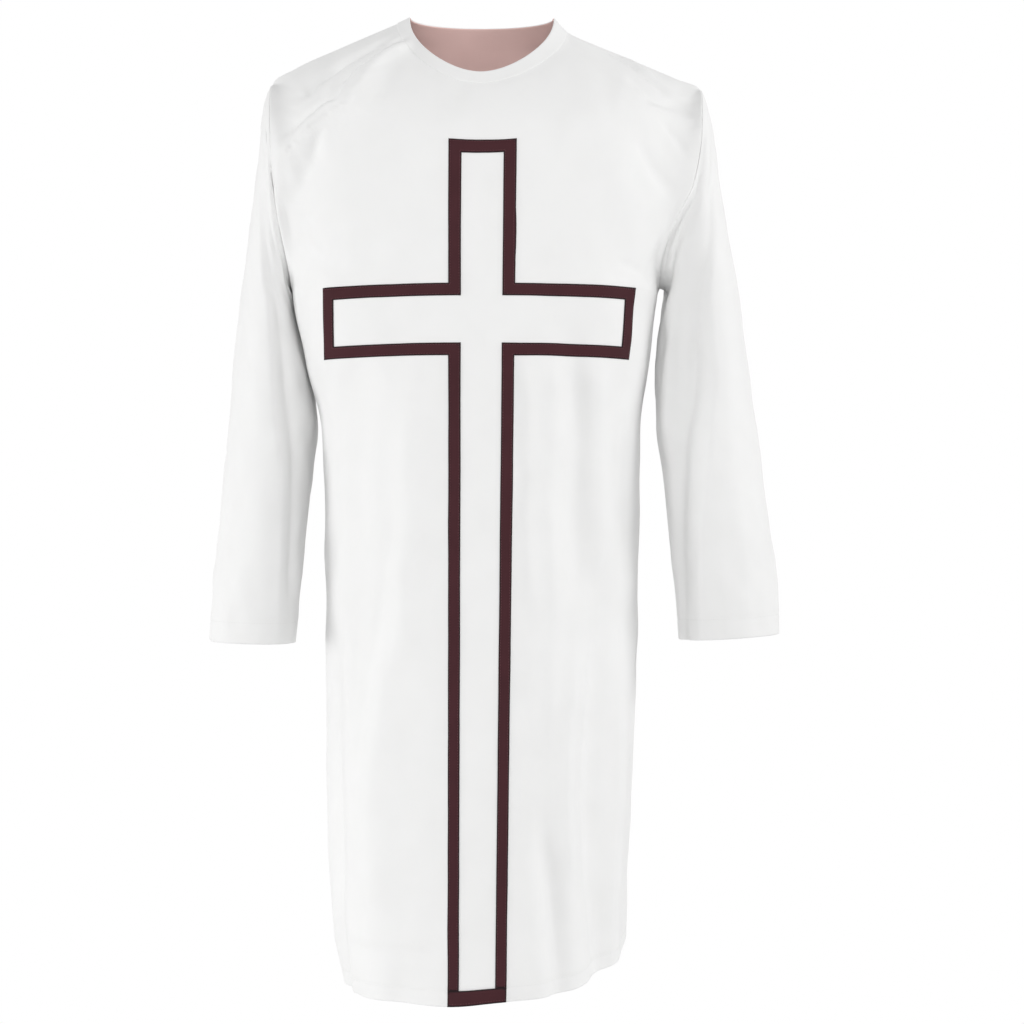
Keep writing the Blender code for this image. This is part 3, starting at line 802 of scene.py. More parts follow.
    def levels(self) -> tuple[np.ndarray, dict[str, int]]:
        """The levels of the rows from the neckline to the hem.

        Returns:
            The levels, and the row of each seam or edge by name.
        """
        cross = self.cross
        strips = (
            (("head", 7), cross.head_top_z, cross.head_top_z - cross.head_tape, "head_inner"),
            (("underarm", 50), cross.bar_top_z, cross.bar_top_z - cross.bar_tape, "bar_inner"),
            (("foot_inner", 13), cross.bar_bottom_z + cross.bar_tape, cross.bar_bottom_z, "bar_foot"),
        )
        plan = [("neckline", self.neckline, 0), ("band", self.band_edge, 5), ("shoulder", self.shoulder, 36)]
        for (name, before), top, foot, last in strips:
            plan.append((name, self.level_at(top), before))
            plan.append(("", self.level_at(top - cross.rim), 1))
            plan.append(("", self.level_at(foot + cross.rim), 3))
            plan.append((last, self.level_at(foot), 1))
        stitch = self.level_at(self.sections[-1].front_z + self.hem_turn)
        plan += [("stitch", stitch, self.skirt_steps), ("hem", self.hem, 5)]
        names, keys, counts = zip(*plan)
        places, marks = finely(list(keys), list(counts[1:]))
        return places, dict(zip(names, marks))

    def cuts(self, face: Face, level: float, lengths: np.ndarray) -> np.ndarray:
        """Where a row is cut into columns, from its right end to its left end.

        Args:
            face: Front or back.
            level: The row's level.
            lengths: Distances along the row, from its right end to its left end.

        Returns:
            The distance of each column to the left of the centre line.
        """
        if face is Face.BACK:
            count = self.back_half_columns + 1
            right, left = (np.linspace(0.0, end, count) for end in (lengths[0], lengths[-1]))
            return np.concatenate([right[:0:-1], left])
        cross = self.cross
        row_z, foot_z = self.size("front_z", level), self.sections[-1].front_z
        middle, stem_inner, stem_outer = cross.stem_edges(row_z, foot_z)
        halves = []
        for side, end in ((Side.RIGHT, lengths[0]), (Side.LEFT, lengths[-1])):
            stem = (middle * side.value + place for place in (stem_inner, stem_outer))
            keys = [middle * side.value]
            for inner, outer in (stem, self.arm_end(side, level)):
                keys += [inner, inner + cross.rim, outer - cross.rim, outer]
            keys.append(end * side.value)
            halves.append(side.value * finely(keys, list(cross.steps))[0])
        return np.concatenate([halves[0][:0:-1], halves[1]])

    def arm_end(self, side: Side, level: float) -> tuple[float, float]:
        """How far along half a row an arm of the cross ends.

        Args:
            side: Which arm.
            level: The row's level.

        Returns:
            The distances from the middle to the inside and the outside of its tape.
        """
        bar_level = float(np.clip(level, self.underarm, self.bar_foot))
        points, lengths = self.half_row(side, Face.FRONT, bar_level)
        reach = np.interp(bar_level, (self.underarm, self.bar_foot), self.cross.bar_reach[side])
        outside = np.interp(reach, np.abs(points[:, 0]), lengths)
        share = self.half_row(side, Face.FRONT, level)[1][-1] / lengths[-1]
        return (outside - self.cross.bar_end_tape) * share, outside * share

    def rounded(self, grid: np.ndarray, levels: np.ndarray, room: np.ndarray) -> np.ndarray:
        """Rounds the cloth over the shoulder points, where it turns from the shoulders' top down the front.

        Args:
            grid: The points of a face.
            levels: The level of each row.
            room: How far each point lies from its row's nearer end.

        Returns:
            The points, moved a little.
        """
        start, end = self.round_levels
        window = (eased((levels - start) / 0.5) * eased((end - levels) / 0.4))[1:-1, None, None]
        aside = 1 - eased((room - self.corner_room[0]) / (self.corner_room[1] - self.corner_room[0]))
        aside = (window * aside[1:-1, :, None])[:, 1:-1]
        middle = window * eased(room / self.round_room)[1:-1, :, None]
        grid = grid.copy()
        for _ in range(self.corner_turns):
            around = (grid[:-2, 1:-1] + grid[2:, 1:-1] + grid[1:-1, :-2] + grid[1:-1, 2:]) / 4
            grid[1:-1, 1:-1] += aside * (around - grid[1:-1, 1:-1])
        for _ in range(self.round_turns):
            normal = outward(grid)[1:-1]
            away = (grid[:-2] + grid[2:]) / 2 - grid[1:-1]
            grid[1:-1] += middle * 0.6 * normal * np.sum(away * normal, axis=2, keepdims=True)
        return grid

    def cloth(self, face: Face, folds: tuple[Fold, ...], drape: Drape) -> Cloth:
        """The middle of a face's wall.

        Args:
            face: Front or back.
            folds: The folds in it.
            drape: Its smaller unevenness.

        Returns:
            Its grid from the neckline to the hem, anticlockwise from above.
        """
        rows, places = [], []
        levels = self.levels()[0]
        for level in levels:
            points, lengths = self.whole_row(face, level)
            cuts = self.cuts(face, level, lengths)
            rows.append(np.stack([np.interp(cuts, lengths, points[:, k]) for k in range(3)], axis=1))
            places.append(cuts)
        grid, s = np.array(rows), np.array(places)
        if face is Face.BACK:
            grid, s = grid[:, ::-1], s[:, ::-1]
        room = np.minimum(s - s.min(axis=1, keepdims=True), s.max(axis=1, keepdims=True) - s)
        grid = self.rounded(grid, levels, room)
        over = np.stack([-s * face.value, travelled(grid)], axis=2)
        height = folds_height(folds, s, grid[:, :, 2]) + drape.height(s, grid[:, :, 2])
        height = height * eased(room / self.calm) * eased(over[:, :, 1] / self.neck_calm)
        grid = grid + outward(grid) * height[:, :, None]
        normal = outward(grid)
        seam = ~((levels > self.shoulder) & (levels < self.underarm))
        for column in (0, -1):
            grid[seam, column, 1] = 0.0
            normal[seam, column] = unit(normal[seam, column] * (1, 0, 1))
        return Cloth(grid, normal, over)


@dataclass(frozen=True)
class CrossPlan:
    """Where the tape of the cross lies on the front, in metres over the cloth."""

    head_top_z: float = -0.1222
    head_tape: float = 0.0150
    bar_top_z: float = -0.2815
    bar_bottom_z: float = -0.3605
    bar_tape: float = 0.0138
    bar_end_tape: float = 0.0141
    stem_half: tuple[float, float] = (0.0376, 0.0317)
    stem_tape: tuple[float, float] = (0.0143, 0.0122)
    lean: tuple[float, float] = (0.0028, -0.0030)
    bar_reach: dict[Side, tuple[float, float]] = field(
        default_factory=lambda: {Side.RIGHT: (0.1735, 0.1730), Side.LEFT: (0.1722, 0.1648)}
    )
    rim: float = 0.0012
    steps: tuple[int, ...] = (6, 1, 3, 1, 28, 1, 3, 1, 22)

    def stem_edges(self, front_z: float, foot_z: float) -> tuple[float, float, float]:
        """Where the stem lies on a row.

        Args:
            front_z: The row's height at the centre front.
            foot_z: The hem's height there.

        Returns:
            Its middle, and half its width inside and outside its tape.
        """
        share = float(np.clip((self.head_top_z - front_z) / (self.head_top_z - foot_z), 0.0, 1.0))
        outside, tape, middle = (
            pair[0] + (pair[1] - pair[0]) * share for pair in (self.stem_half, self.stem_tape, self.lean)
        )
        return middle, outside - tape, outside

    def marks(self) -> dict[str, int]:
        """How many columns each edge of the tape lies from the middle one."""
        ends = np.cumsum(self.steps)
        return dict(zip(("stem_inner", "stem_outer", "arm_inner", "arm_outer"), ends[[0, 3, 4, 7]].tolist()))


FRONT_FOLDS = (
    # The wearer's right shoulder: one sharp fold runs down to the arm, with hollows on both sides of it.
    Fold(((-90, 22, 0), (-104, 4, 8), (-122, -22, 15), (-148, -64, 20), (-180, -101, 21), (-208, -123, 17),
          (-240, -138, 9)), 26.0, 12.0, 1.15),
    Fold(((-104, 18, 0), (-126, -4, -5), (-150, -34, -7), (-176, -66, -7), (-205, -94, -5.5),
          (-236, -116, -1)),
         6.0, 5.0),
    Fold(((-130, 6, 0), (-158, -10, -5), (-200, -34, -6.5), (-236, -58, -4)), 7.0, 7.0),
    Fold(((-112, -15, 0), (-128, -36, -4.5), (-152, -68, -7), (-176, -98, -7.5), (-188, -116, -6.5),
          (-194, -140, -5),
          (-206, -162, -3.4), (-215, -178, -1.8), (-221, -192, 0)), 8.0, 9.0, 1.7),
    Fold(((-228, -120, 0), (-225, -133, 2.6), (-215, -160, 2.6), (-211, -178, 0)), 7.0, 7.0),
    Fold(((-215, -196, 0), (-205, -212, -3), (-189, -242, -4.5), (-168, -259, -3),
          (-150, -268, 0)), 13.0, 13.0),
    Fold(((-216, -207, 0), (-205, -204, -1.4), (-181, -196, -1.3), (-170, -192, 0)), 3.5, 4.5, 1.6),
    Fold(((-219, -224, 0), (-213, -228, -1.4), (-203, -235, -1.4), (-196, -240, 0)), 3.5, 4.5, 1.6),
    Fold(((-250, -180, 0), (-232, -205, -6), (-212, -240, -7.5), (-200, -275, -4)), 18.0, 20.0),
    # The left shoulder is flatter.
    Fold(((182, 6, 0), (191, -2, -2.7), (207, -16, -3.5), (219, -35, -3.5), (237, -48, -3), (270, -68, -1.4)),
         3.5, 5.0, 1.5),
    Fold(((180, 12, 0), (197, 4, 1.9), (213, -10, 3), (226, -28, 3), (243, -41, 2.2),
          (266, -56, 0)), 7.0, 7.0),
    Fold(((186, -40, 0), (199, -49, -3.2), (222, -64, -4.1), (259, -77, -2.7), (270, -82, 0)), 8.0, 9.0),
    Fold(((216, -88, 0), (222, -101, -2.2), (238, -127, -2.2), (245, -138, 0)), 3.5, 5.0, 1.6),
    Fold(((178, -115, 0), (189, -134, -3), (203, -155, -3.6), (217, -170, -3), (226, -184, 0)), 8.0, 9.0),
    Fold(((268, -66, 0), (260, -68, -1.6), (248, -70, 0)), 3.0, 3.0),
    Fold(((270, -93, 0), (261, -95, -1.6), (247, -98, 0)), 3.0, 3.0),
    Fold(((264, -123, 0), (256, -126, -1.5), (244, -128, 0)), 3.0, 3.0),
    Fold(((150, -255, 0), (159, -258, -1.2), (179, -263, -1.2), (190, -266, 0)), 4.0, 5.0),
    Fold(((245, -185, 0), (234, -215, -4.7), (214, -250, -5.4), (203, -272, -2.7)), 14.0, 14.0),
    # The skirt hangs in long soft folds.
    Fold(((-71, -330, 0), (-71, -400, 5.8), (-75, -496, 6.5), (-83, -630, 5.2), (-90, -740, 0)), 22.0, 22.0),
    Fold(((-136, -330, 0), (-137, -400, -4.4), (-144, -519, -4.6), (-140, -739, -5.6),
          (-141, -810, 0)), 19.0, 19.0),
    Fold(((-92, -515, 0), (-100, -570, -2.2), (-114, -650, -3.5), (-141, -783, -2.6),
          (-150, -840, 0)), 9.0, 13.0),
    Fold(((-120, -690, 0), (-121, -770, 6.1), (-123, -950, 6.7), (-124, -1090, 5.2)), 25.0, 25.0),
    Fold(((-185, -640, 0), (-186, -745, -7.2), (-186, -899, -8.7), (-194, -1054, -8),
          (-197, -1090, -5.8)), 15.0, 17.0),
    Fold(((73, -330, 0), (73, -390, 5.8), (72, -518, 6.7), (75, -737, 5.2), (78, -800, 0)), 15.0, 15.0),
    Fold(((133, -330, 0), (133, -390, 5.2), (136, -473, 5.8), (139, -585, 4.6), (142, -660, 0)), 15.0, 15.0),
    Fold(((47, -345, 0), (48, -400, -2.3), (48, -560, -2.3), (47, -640, 0)), 11.0, 11.0),
    Fold(((105, -330, 0), (105, -400, -5.2), (106, -560, -5.2), (107, -660, 0)), 13.0, 13.0),
    Fold(((176, -340, 0), (175, -400, -3.8), (175, -560, -3.8), (174, -640, 0)), 13.0, 13.0),
    Fold(((108, -670, 0), (107, -737, 5.8), (103, -826, 7.2), (102, -902, 5.8), (100, -985, 0)), 15.0, 15.0),
    Fold(((142, -580, 0), (138, -653, -7.5), (125, -759, -10.5), (120, -850, -11.5), (133, -938, -11.5),
          (148, -1028, -11.5),
          (156, -1090, -7.2)), 18.0, 18.0),
    Fold(((69, -840, 0), (72, -901, -5.5), (81, -976, -8.5), (89, -1053, -8.5), (91, -1090, -7)), 12.0, 13.0),
    Fold(((176, -670, 0), (175, -760, 6.1), (174, -950, 6.7), (172, -1085, 4.3)), 16.0, 16.0),
    Fold(((-175, -1020, 0), (-130, -1014, -2.3), (-80, -1013, -2.3), (-38, -1017, 0)), 12.0, 8.0),
)
# The back doesn't show, so its folds are made up, like those of the front.
BACK_FOLDS = (
    Fold(((-70, 0, 0), (-95, -32, -4), (-150, -92, -5.1), (-196, -146, -4.2), (-222, -178, 0)), 10.0, 16.0),
    Fold(((-92, 12, 0), (-128, -22, 3.5), (-176, -70, 4.5), (-232, -118, 0)), 8.0, 12.0, 1.7),
    Fold(((72, -2, 0), (98, -36, -4), (152, -98, -5.1), (198, -156, -4.2), (224, -190, 0)), 16.0, 10.0),
    Fold(((96, 8, 0), (134, -30, 3.2), (186, -82, 4.2), (240, -124, 0)), 12.0, 8.0, 1.7),
    Fold(((-240, -170, 0), (-228, -212, -3.5), (-212, -250, -3.5), (-200, -276, -2)), 15.0, 15.0),
    Fold(((246, -176, 0), (232, -214, -3.5), (212, -252, -3.5), (200, -274, -2)), 15.0, 15.0),
    Fold(((-60, -250, 0), (-62, -340, 8), (-58, -620, 10.4), (-66, -900, 8), (-68, -1020, 0)), 19.0, 22.0),
    Fold(((32, -330, 0), (30, -430, -8), (24, -700, -10.4), (22, -960, -10.4),
          (18, -1090, -8.8)), 18.0, 17.0),
    Fold(((98, -220, 0), (101, -320, 8), (108, -600, 9.6), (106, -840, 8), (104, -930, 0)), 19.0, 18.0),
    Fold(((-128, -400, 0), (-130, -500, -8), (-124, -760, -9.6), (-128, -980, -9.6),
          (-130, -1090, -8)), 16.0, 18.0),
    Fold(((168, -470, 0), (165, -580, -8.8), (160, -800, -10.4), (158, -1000, -9.6),
          (156, -1080, -8)), 16.0, 15.0),
    Fold(((-192, -590, 0), (-190, -700, 6.4), (-186, -900, 7.2), (-184, -1050, 4.8)), 14.0, 14.0),
    Fold(((-20, -560, 0), (-22, -700, 3.2), (-28, -860, 3.8), (-24, -980, 0)), 11.0, 11.0),
    Fold(((70, -700, 0), (66, -820, -3.5), (70, -980, -4.8), (74, -1080, -4)), 10.0, 11.0),
)


@dataclass(frozen=True)
class Ring:
    """A ring of a sleeve: its outer and inner edge, its depths, and how far it is moved forward."""

    out_x: float
    out_z: float
    in_x: float
    in_z: float
    front_d: float
    back_d: float
    forward: float


@dataclass(frozen=True)
class Tuck:
    """A hollow in the sleeve beside the lower front of the armhole, where the body's edge lies over it.

    Args:
        deep: How deep it is.
        near: How far from the seam it is deepest.
        start: Where it starts, as a share of the ring.
        full: Where it has its full depth.
    """

    deep: float
    near: float
    start: float
    full: float

    def height(self, around: np.ndarray, away: np.ndarray) -> np.ndarray:
        """How far it moves the cloth outward.

        Args:
            around: Shares of the ring, from -0.5 to 0.5.
            away: Distance from the seam.

        Returns:
            The height at each place, in metres.
        """
        here = eased((around - self.start) / (self.full - self.start)) + eased((-0.40 - around) / 0.08)
        share = away / self.near
        return -self.deep * here * share * np.exp(1 - share)


@dataclass
class Sleeve:
    """A sleeve, from the armhole seam to the cuff. Folds are tabled on one 450 mm round and 640 mm long."""

    side: Side
    rings: tuple[Ring, ...]
    folds: tuple[Fold, ...]
    tuck: Tuck
    drape: Drape
    counts: tuple[int, ...] = (4, 14, 20, 21, 20, 25, 15, 20, 13, 15)
    cap_start: float = 1.0
    cap_end: float = 6.0
    round_about: float = 0.450
    long_about: float = 0.640
    calm: float = 0.010
    stitch_rows: int = 6

    def armhole(self, front: Cloth, back: Cloth, rows: slice) -> np.ndarray:
        """The armhole seam, from the shoulder over the front to the underarm and up the back.

        Args:
            front: The front, from the neckline on.
            back: The back.
            rows: Their rows along the armhole.

        Returns:
            Its points.
        """
        right = self.side is Side.RIGHT
        one, other = front.points[rows, 0 if right else -1], back.points[rows, -1 if right else 0]
        ends = (one[:1] + other[:1]) / 2, (one[-1:] + other[-1:]) / 2
        return np.concatenate([ends[0], one[1:-1], ends[1], other[-2:0:-1]])

    def ring(self, place: float, angles: np.ndarray) -> np.ndarray:
        """Points round the sleeve.

        Args:
            place: Which ring, or a place between two.
            angles: Angles from the outer edge, over the front.

        Returns:
            The points.
        """
        knots = range(len(self.rings))
        sizes = {
            part: float(through(knots, [getattr(ring, part) for ring in self.rings], place))
            for part in Ring.__annotations__
        }
        outer = np.array([self.side.value * sizes["out_x"], 0.0, sizes["out_z"]])
        inner = np.array([self.side.value * sizes["in_x"], 0.0, sizes["in_z"]])
        deep = np.where(angles <= np.pi, -sizes["front_d"], -sizes["back_d"])
        depth = deep * np.sin(angles) - sizes["forward"]
        across = np.cos(angles)[:, None] * (outer - inner) / 2
        return (outer + inner) / 2 + across + depth[:, None] * np.array([0.0, 1.0, 0.0])

    def cloth(self, body: Body, front: Cloth, back: Cloth) -> Cloth:
        """The middle of the sleeve's wall, which starts and ends at the underarm seam.

        Args:
            body: The form of the body.
            front: The front, from the neckline on.
            back: The back.

        Returns:
            Its grid, from the armhole seam to the cuff.
        """
        levels, marks = body.levels()
        rows = slice(marks["shoulder"], marks["underarm"] + 1)
        half = body.armhole_angle(levels[rows])
        angles = np.concatenate([half, 2 * np.pi - half[-2:0:-1]])
        places = finely(list(range(len(self.rings))), list(self.counts))[0]
        strayed = self.armhole(front, back, rows) - self.ring(0.0, angles)
        done = eased((places - self.cap_start) / (self.cap_end - self.cap_start))
        grid = np.array([self.ring(p, angles) + (1 - share) * strayed for p, share in zip(places, done)])
        order = np.arange(len(angles)) if self.side is Side.RIGHT else np.arange(len(angles))[::-1]
        order = np.roll(order, -int(np.argmax(order == len(half) - 1)))
        grid = grid[:, order]
        around = angles[order] / (2 * np.pi)
        around = np.where(around > 0.5, around - 1, around)
        around[0] = 0.5 * (1 if around[1] > 0 else -1)
        away = travelled(grid)
        down = places / places[-1]
        across, up = np.broadcast_arrays(around[None, :] * self.round_about, -down[:, None] * self.long_about)
        height = folds_height(self.folds, across, up) + self.drape.height(across, up)
        seam_room = (0.5 - np.abs(around))[None, :] * self.round_about
        height = height * eased(seam_room / self.calm) * eased(away / self.calm)
        height = height + self.tuck.height(around[None, :], away)
        grid = grid + outward(grid, closed=True) * height[:, :, None]
        normal = outward(grid, closed=True)
        grid, normal, away = (ringed(a) for a in (grid, normal, away))
        round_it = travelled(grid.swapaxes(0, 1)).T
        return Cloth(grid, normal, np.stack([round_it, away], axis=2))


RIGHT_SLEEVE = Sleeve(
    Side.RIGHT,
    (
        Ring(0.2400, -0.0425, 0.2140, -0.2860, 0.068, 0.068, 0.000),
        Ring(0.2452, -0.0540, 0.2152, -0.2830, 0.068, 0.070, 0.000),
        Ring(0.2510, -0.0920, 0.2168, -0.2860, 0.066, 0.074, -0.004),
        Ring(0.2600, -0.1700, 0.2158, -0.2980, 0.065, 0.078, -0.012),
        Ring(0.2725, -0.2533, 0.2078, -0.3350, 0.064, 0.080, -0.024),
        Ring(0.2815, -0.3322, 0.1970, -0.3850, 0.064, 0.078, -0.028),
        Ring(0.2898, -0.4311, 0.1930, -0.4367, 0.063, 0.074, -0.021),
        Ring(0.2940, -0.4900, 0.1968, -0.4930, 0.062, 0.068, -0.010),
        Ring(0.3005, -0.5700, 0.2038, -0.5720, 0.059, 0.062, 0.004),
        Ring(0.3060, -0.6206, 0.2085, -0.6230, 0.057, 0.058, 0.010),
        Ring(0.3095, -0.6783, 0.2130, -0.6810, 0.055, 0.055, 0.014),
    ),
    (
        Fold(((72, -120, 0), (82, -157, 3), (100, -190, 7), (116, -250, 11), (116, -340, 13), (130, -418, 14),
              (143, -498, 13), (152, -587, 9), (158, -645, 5)), 62.0, 20.0, 1.1),
        Fold(((112, -180, 0), (134, -250, -2.5), (138, -340, -3.5), (156, -418, -3.5), (170, -498, -3),
              (182, -600, -1.5)), 9.0, 14.0, 1.8),
        Fold(((-118, -190, 0), (-120, -260, 4), (-126, -420, 5), (-124, -600, 4.5),
              (-124, -660, 4)), 27.0, 27.0),
        Fold(((-60, -120, 0), (-66, -220, -3), (-74, -330, -3), (-80, -420, 0)), 14.0, 12.0),
        Fold(((40, -300, 0), (46, -380, 1.4), (60, -520, 1.6), (66, -600, 0)), 16.0, 16.0),
        Fold(((-160, -330, 0), (-166, -420, -3), (-172, -560, -3.5), (-176, -650, -3)), 12.0, 12.0),
    ),
    Tuck(0.0085, 0.0026, 0.19, 0.27),
    Drape(31, 0.0011),
)
LEFT_SLEEVE = Sleeve(
    Side.LEFT,
    (
        Ring(0.2510, -0.0480, 0.2010, -0.2840, 0.068, 0.068, 0.000),
        Ring(0.2575, -0.0620, 0.2022, -0.2810, 0.068, 0.070, 0.000),
        Ring(0.2660, -0.1100, 0.2044, -0.2840, 0.067, 0.074, -0.001),
        Ring(0.2775, -0.1850, 0.2040, -0.2960, 0.067, 0.077, -0.003),
        Ring(0.2895, -0.2620, 0.2025, -0.3300, 0.066, 0.077, -0.004),
        Ring(0.3020, -0.3500, 0.2008, -0.3800, 0.065, 0.074, -0.003),
        Ring(0.3118, -0.4253, 0.2018, -0.4357, 0.064, 0.068, 0.002),
        Ring(0.3190, -0.4868, 0.2088, -0.4900, 0.062, 0.064, 0.006),
        Ring(0.3300, -0.5645, 0.2165, -0.5680, 0.059, 0.060, 0.010),
        Ring(0.3365, -0.6150, 0.2222, -0.6200, 0.056, 0.057, 0.012),
        Ring(0.3395, -0.6703, 0.2262, -0.6772, 0.053, 0.054, 0.014),
    ),
    (
        Fold(((84, -140, 0), (96, -190, 3), (100, -260, 7), (102, -340, 10), (115, -418, 12),
              (140, -498, 11.5),
              (153, -587, 8), (158, -645, 4)), 60.0, 24.0, 1.15),
        Fold(((116, -180, 0), (124, -250, -4), (130, -340, -6), (156, -418, -7), (178, -498, -6),
              (190, -587, -4),
              (192, -650, -3)), 12.0, 18.0, 1.8),
        Fold(((158, -200, 0), (170, -265, 3), (182, -352, 4), (190, -430, 3.5), (196, -520, 0)), 10.0, 13.0),
        Fold(((80, -130, 0), (90, -165, -1.6), (116, -252, -2), (131, -335, -1.5),
              (136, -390, 0)), 5.0, 9.0, 1.6),
        Fold(((70, -180, 0), (78, -260, 3), (96, -420, 3.6), (118, -600, 3.5), (122, -650, 3)), 26.0, 22.0),
        Fold(((-122, -190, 0), (-122, -260, 4), (-116, -420, 5), (-112, -600, 4.5),
              (-112, -660, 4)), 27.0, 27.0),
        Fold(((-66, -140, 0), (-70, -230, -3), (-76, -350, -3), (-84, -440, 0)), 12.0, 14.0),
    ),
    Tuck(0.0120, 0.0110, 0.20, 0.33),
    Drape(47, 0.0011),
)


@dataclass(frozen=True)
class Seat:
    """Places for stitches: where they are, the way that the line runs there, and the way outward."""

    points: np.ndarray
    ways: np.ndarray
    normals: np.ndarray

    @staticmethod
    def along(cloth: Cloth, corners: list[tuple[float, float]], pitch: float) -> Seat:
        """Even places along a line over the cloth.

        Args:
            cloth: The cloth.
            corners: (row, column) of each corner of the line, which may lie between rows and columns.
            pitch: The distance between two places.

        Returns:
            The places.
        """
        stops = [np.array(corners[:1], float)]
        for start, end in zip(corners, corners[1:]):
            count = int(np.ceil(max(abs(end[0] - start[0]), abs(end[1] - start[1])) * 4))
            stops.append(np.linspace(start, end, count + 1)[1:])
        line = np.concatenate(stops)
        points, normals = cloth.at(line[:, 0], line[:, 1])
        gone = travelled(points)
        at = np.arange(pitch / 2, gone[-1], pitch)
        spots, outs = (
            np.stack([np.interp(at, gone, a[:, k]) for k in range(3)], axis=1) for a in (points, normals)
        )
        return Seat(spots, unit(np.gradient(spots, axis=0)), unit(outs))


@dataclass
class Stitching:
    """A row of stitches, laid by a Geometry Nodes tree: a bead of thread on each place, along the line.

    Args:
        long: How long the part of a stitch is that shows.
        wide: How thick its thread is.
        pitch: The distance from one stitch to the next.
        seed: The seed of their small differences.
    """

    long: float = 0.0023
    wide: float = 0.00042
    pitch: float = 0.0030
    seed: int = 7

    def tree(self) -> bpy.types.NodeTree:
        """The node tree that lays the stitches."""
        tree = bpy.data.node_groups.new("stitches", "GeometryNodeTree")
        for name, kind in (("Places", "Geometry"), ("Long", "Float"), ("Wide", "Float"), ("Seed", "Int")):
            tree.interface.new_socket(name, in_out="INPUT", socket_type="NodeSocket" + kind)
        tree.interface.new_socket("Thread", in_out="INPUT", socket_type="NodeSocketMaterial")
        tree.interface.new_socket("Stitches", in_out="OUTPUT", socket_type="NodeSocketGeometry")
        nodes = Nodes(tree)
        given = nodes.add("NodeGroupInput").outputs
        bead = nodes.add("GeometryNodeMeshUVSphere", Segments=6, Rings=5, Radius=0.5)
        size = nodes.add("ShaderNodeCombineXYZ", X=given["Long"], Y=given["Wide"], Z=given["Wide"])
        shaped = nodes.add("GeometryNodeTransform", Geometry=bead.outputs["Mesh"], Scale=size.outputs[0])
        way = nodes.add("GeometryNodeInputNamedAttribute", {"data_type": "FLOAT_VECTOR"}, Name="way")
        out = nodes.add("GeometryNodeInputNamedAttribute", {"data_type": "FLOAT_VECTOR"}, Name="out")
        align = "FunctionNodeAlignRotationToVector"
        along = nodes.add(align, {"axis": "X"}, Vector=way.outputs["Attribute"]).outputs[0]
        setting = {"axis": "Z", "pivot_axis": "X"}
        laid = nodes.add(align, setting, Rotation=along, Vector=out.outputs["Attribute"])
        setting = {"data_type": "FLOAT"}
        uneven = nodes.add("FunctionNodeRandomValue", setting, Min=0.86, Max=1.08, Seed=given["Seed"])
        spots = nodes.add("GeometryNodeMeshToPoints", Mesh=given["Places"])
        placed = nodes.add(
            "GeometryNodeInstanceOnPoints",
            Points=spots.outputs[0],
            Instance=shaped.outputs[0],
            Rotation=laid.outputs[0],
            Scale=uneven.outputs["Value"],
        )
        real = nodes.add("GeometryNodeRealizeInstances", Geometry=placed.outputs[0])
        smooth = nodes.add("GeometryNodeSetShadeSmooth", Geometry=real.outputs[0])
        dressed = nodes.add("GeometryNodeSetMaterial", Geometry=smooth.outputs[0], Material=given["Thread"])
        nodes.tree.links.new(dressed.outputs[0], nodes.add("NodeGroupOutput").inputs[0])
        return tree

    def sew(
        self, name: str, tree: bpy.types.NodeTree, seats: list[Seat], thread: bpy.types.Material
    ) -> bpy.types.Object:
        """Makes the stitches of one piece.

        Args:
            name: The piece's name.
            tree: What tree() made.
            seats: The places of its stitches.
            thread: The thread's material.

        Returns:
            The object, a plain mesh.
        """
        mesh = bpy.data.meshes.new(name)
        points, ways, normals = (
            np.concatenate([getattr(seat, part) for seat in seats]) for part in ("points", "ways", "normals")
        )
        mesh.from_pydata((points + normals * self.wide * 0.2).tolist(), [], [])
        for label, values in (("way", ways), ("out", normals)):
            mesh.attributes.new(label, "FLOAT_VECTOR", "POINT").data.foreach_set("vector", values.ravel())
        made = linked(name, mesh)
        laid = made.modifiers.new("stitches", "NODES")
        laid.node_group = tree
        sockets = {s.name: s.identifier for s in tree.interface.items_tree if s.in_out == "INPUT"}
        values = {"Long": self.long, "Wide": self.wide, "Seed": self.seed, "Thread": thread}
        for label, value in values.items():
            laid[sockets[label]] = value
        return plain_mesh(made)


@dataclass(frozen=True)
class Cut:
    """What a piece is cut from, flat: its width, its length and its area, in metres and square metres."""

    width: float
    length: float
    area: float


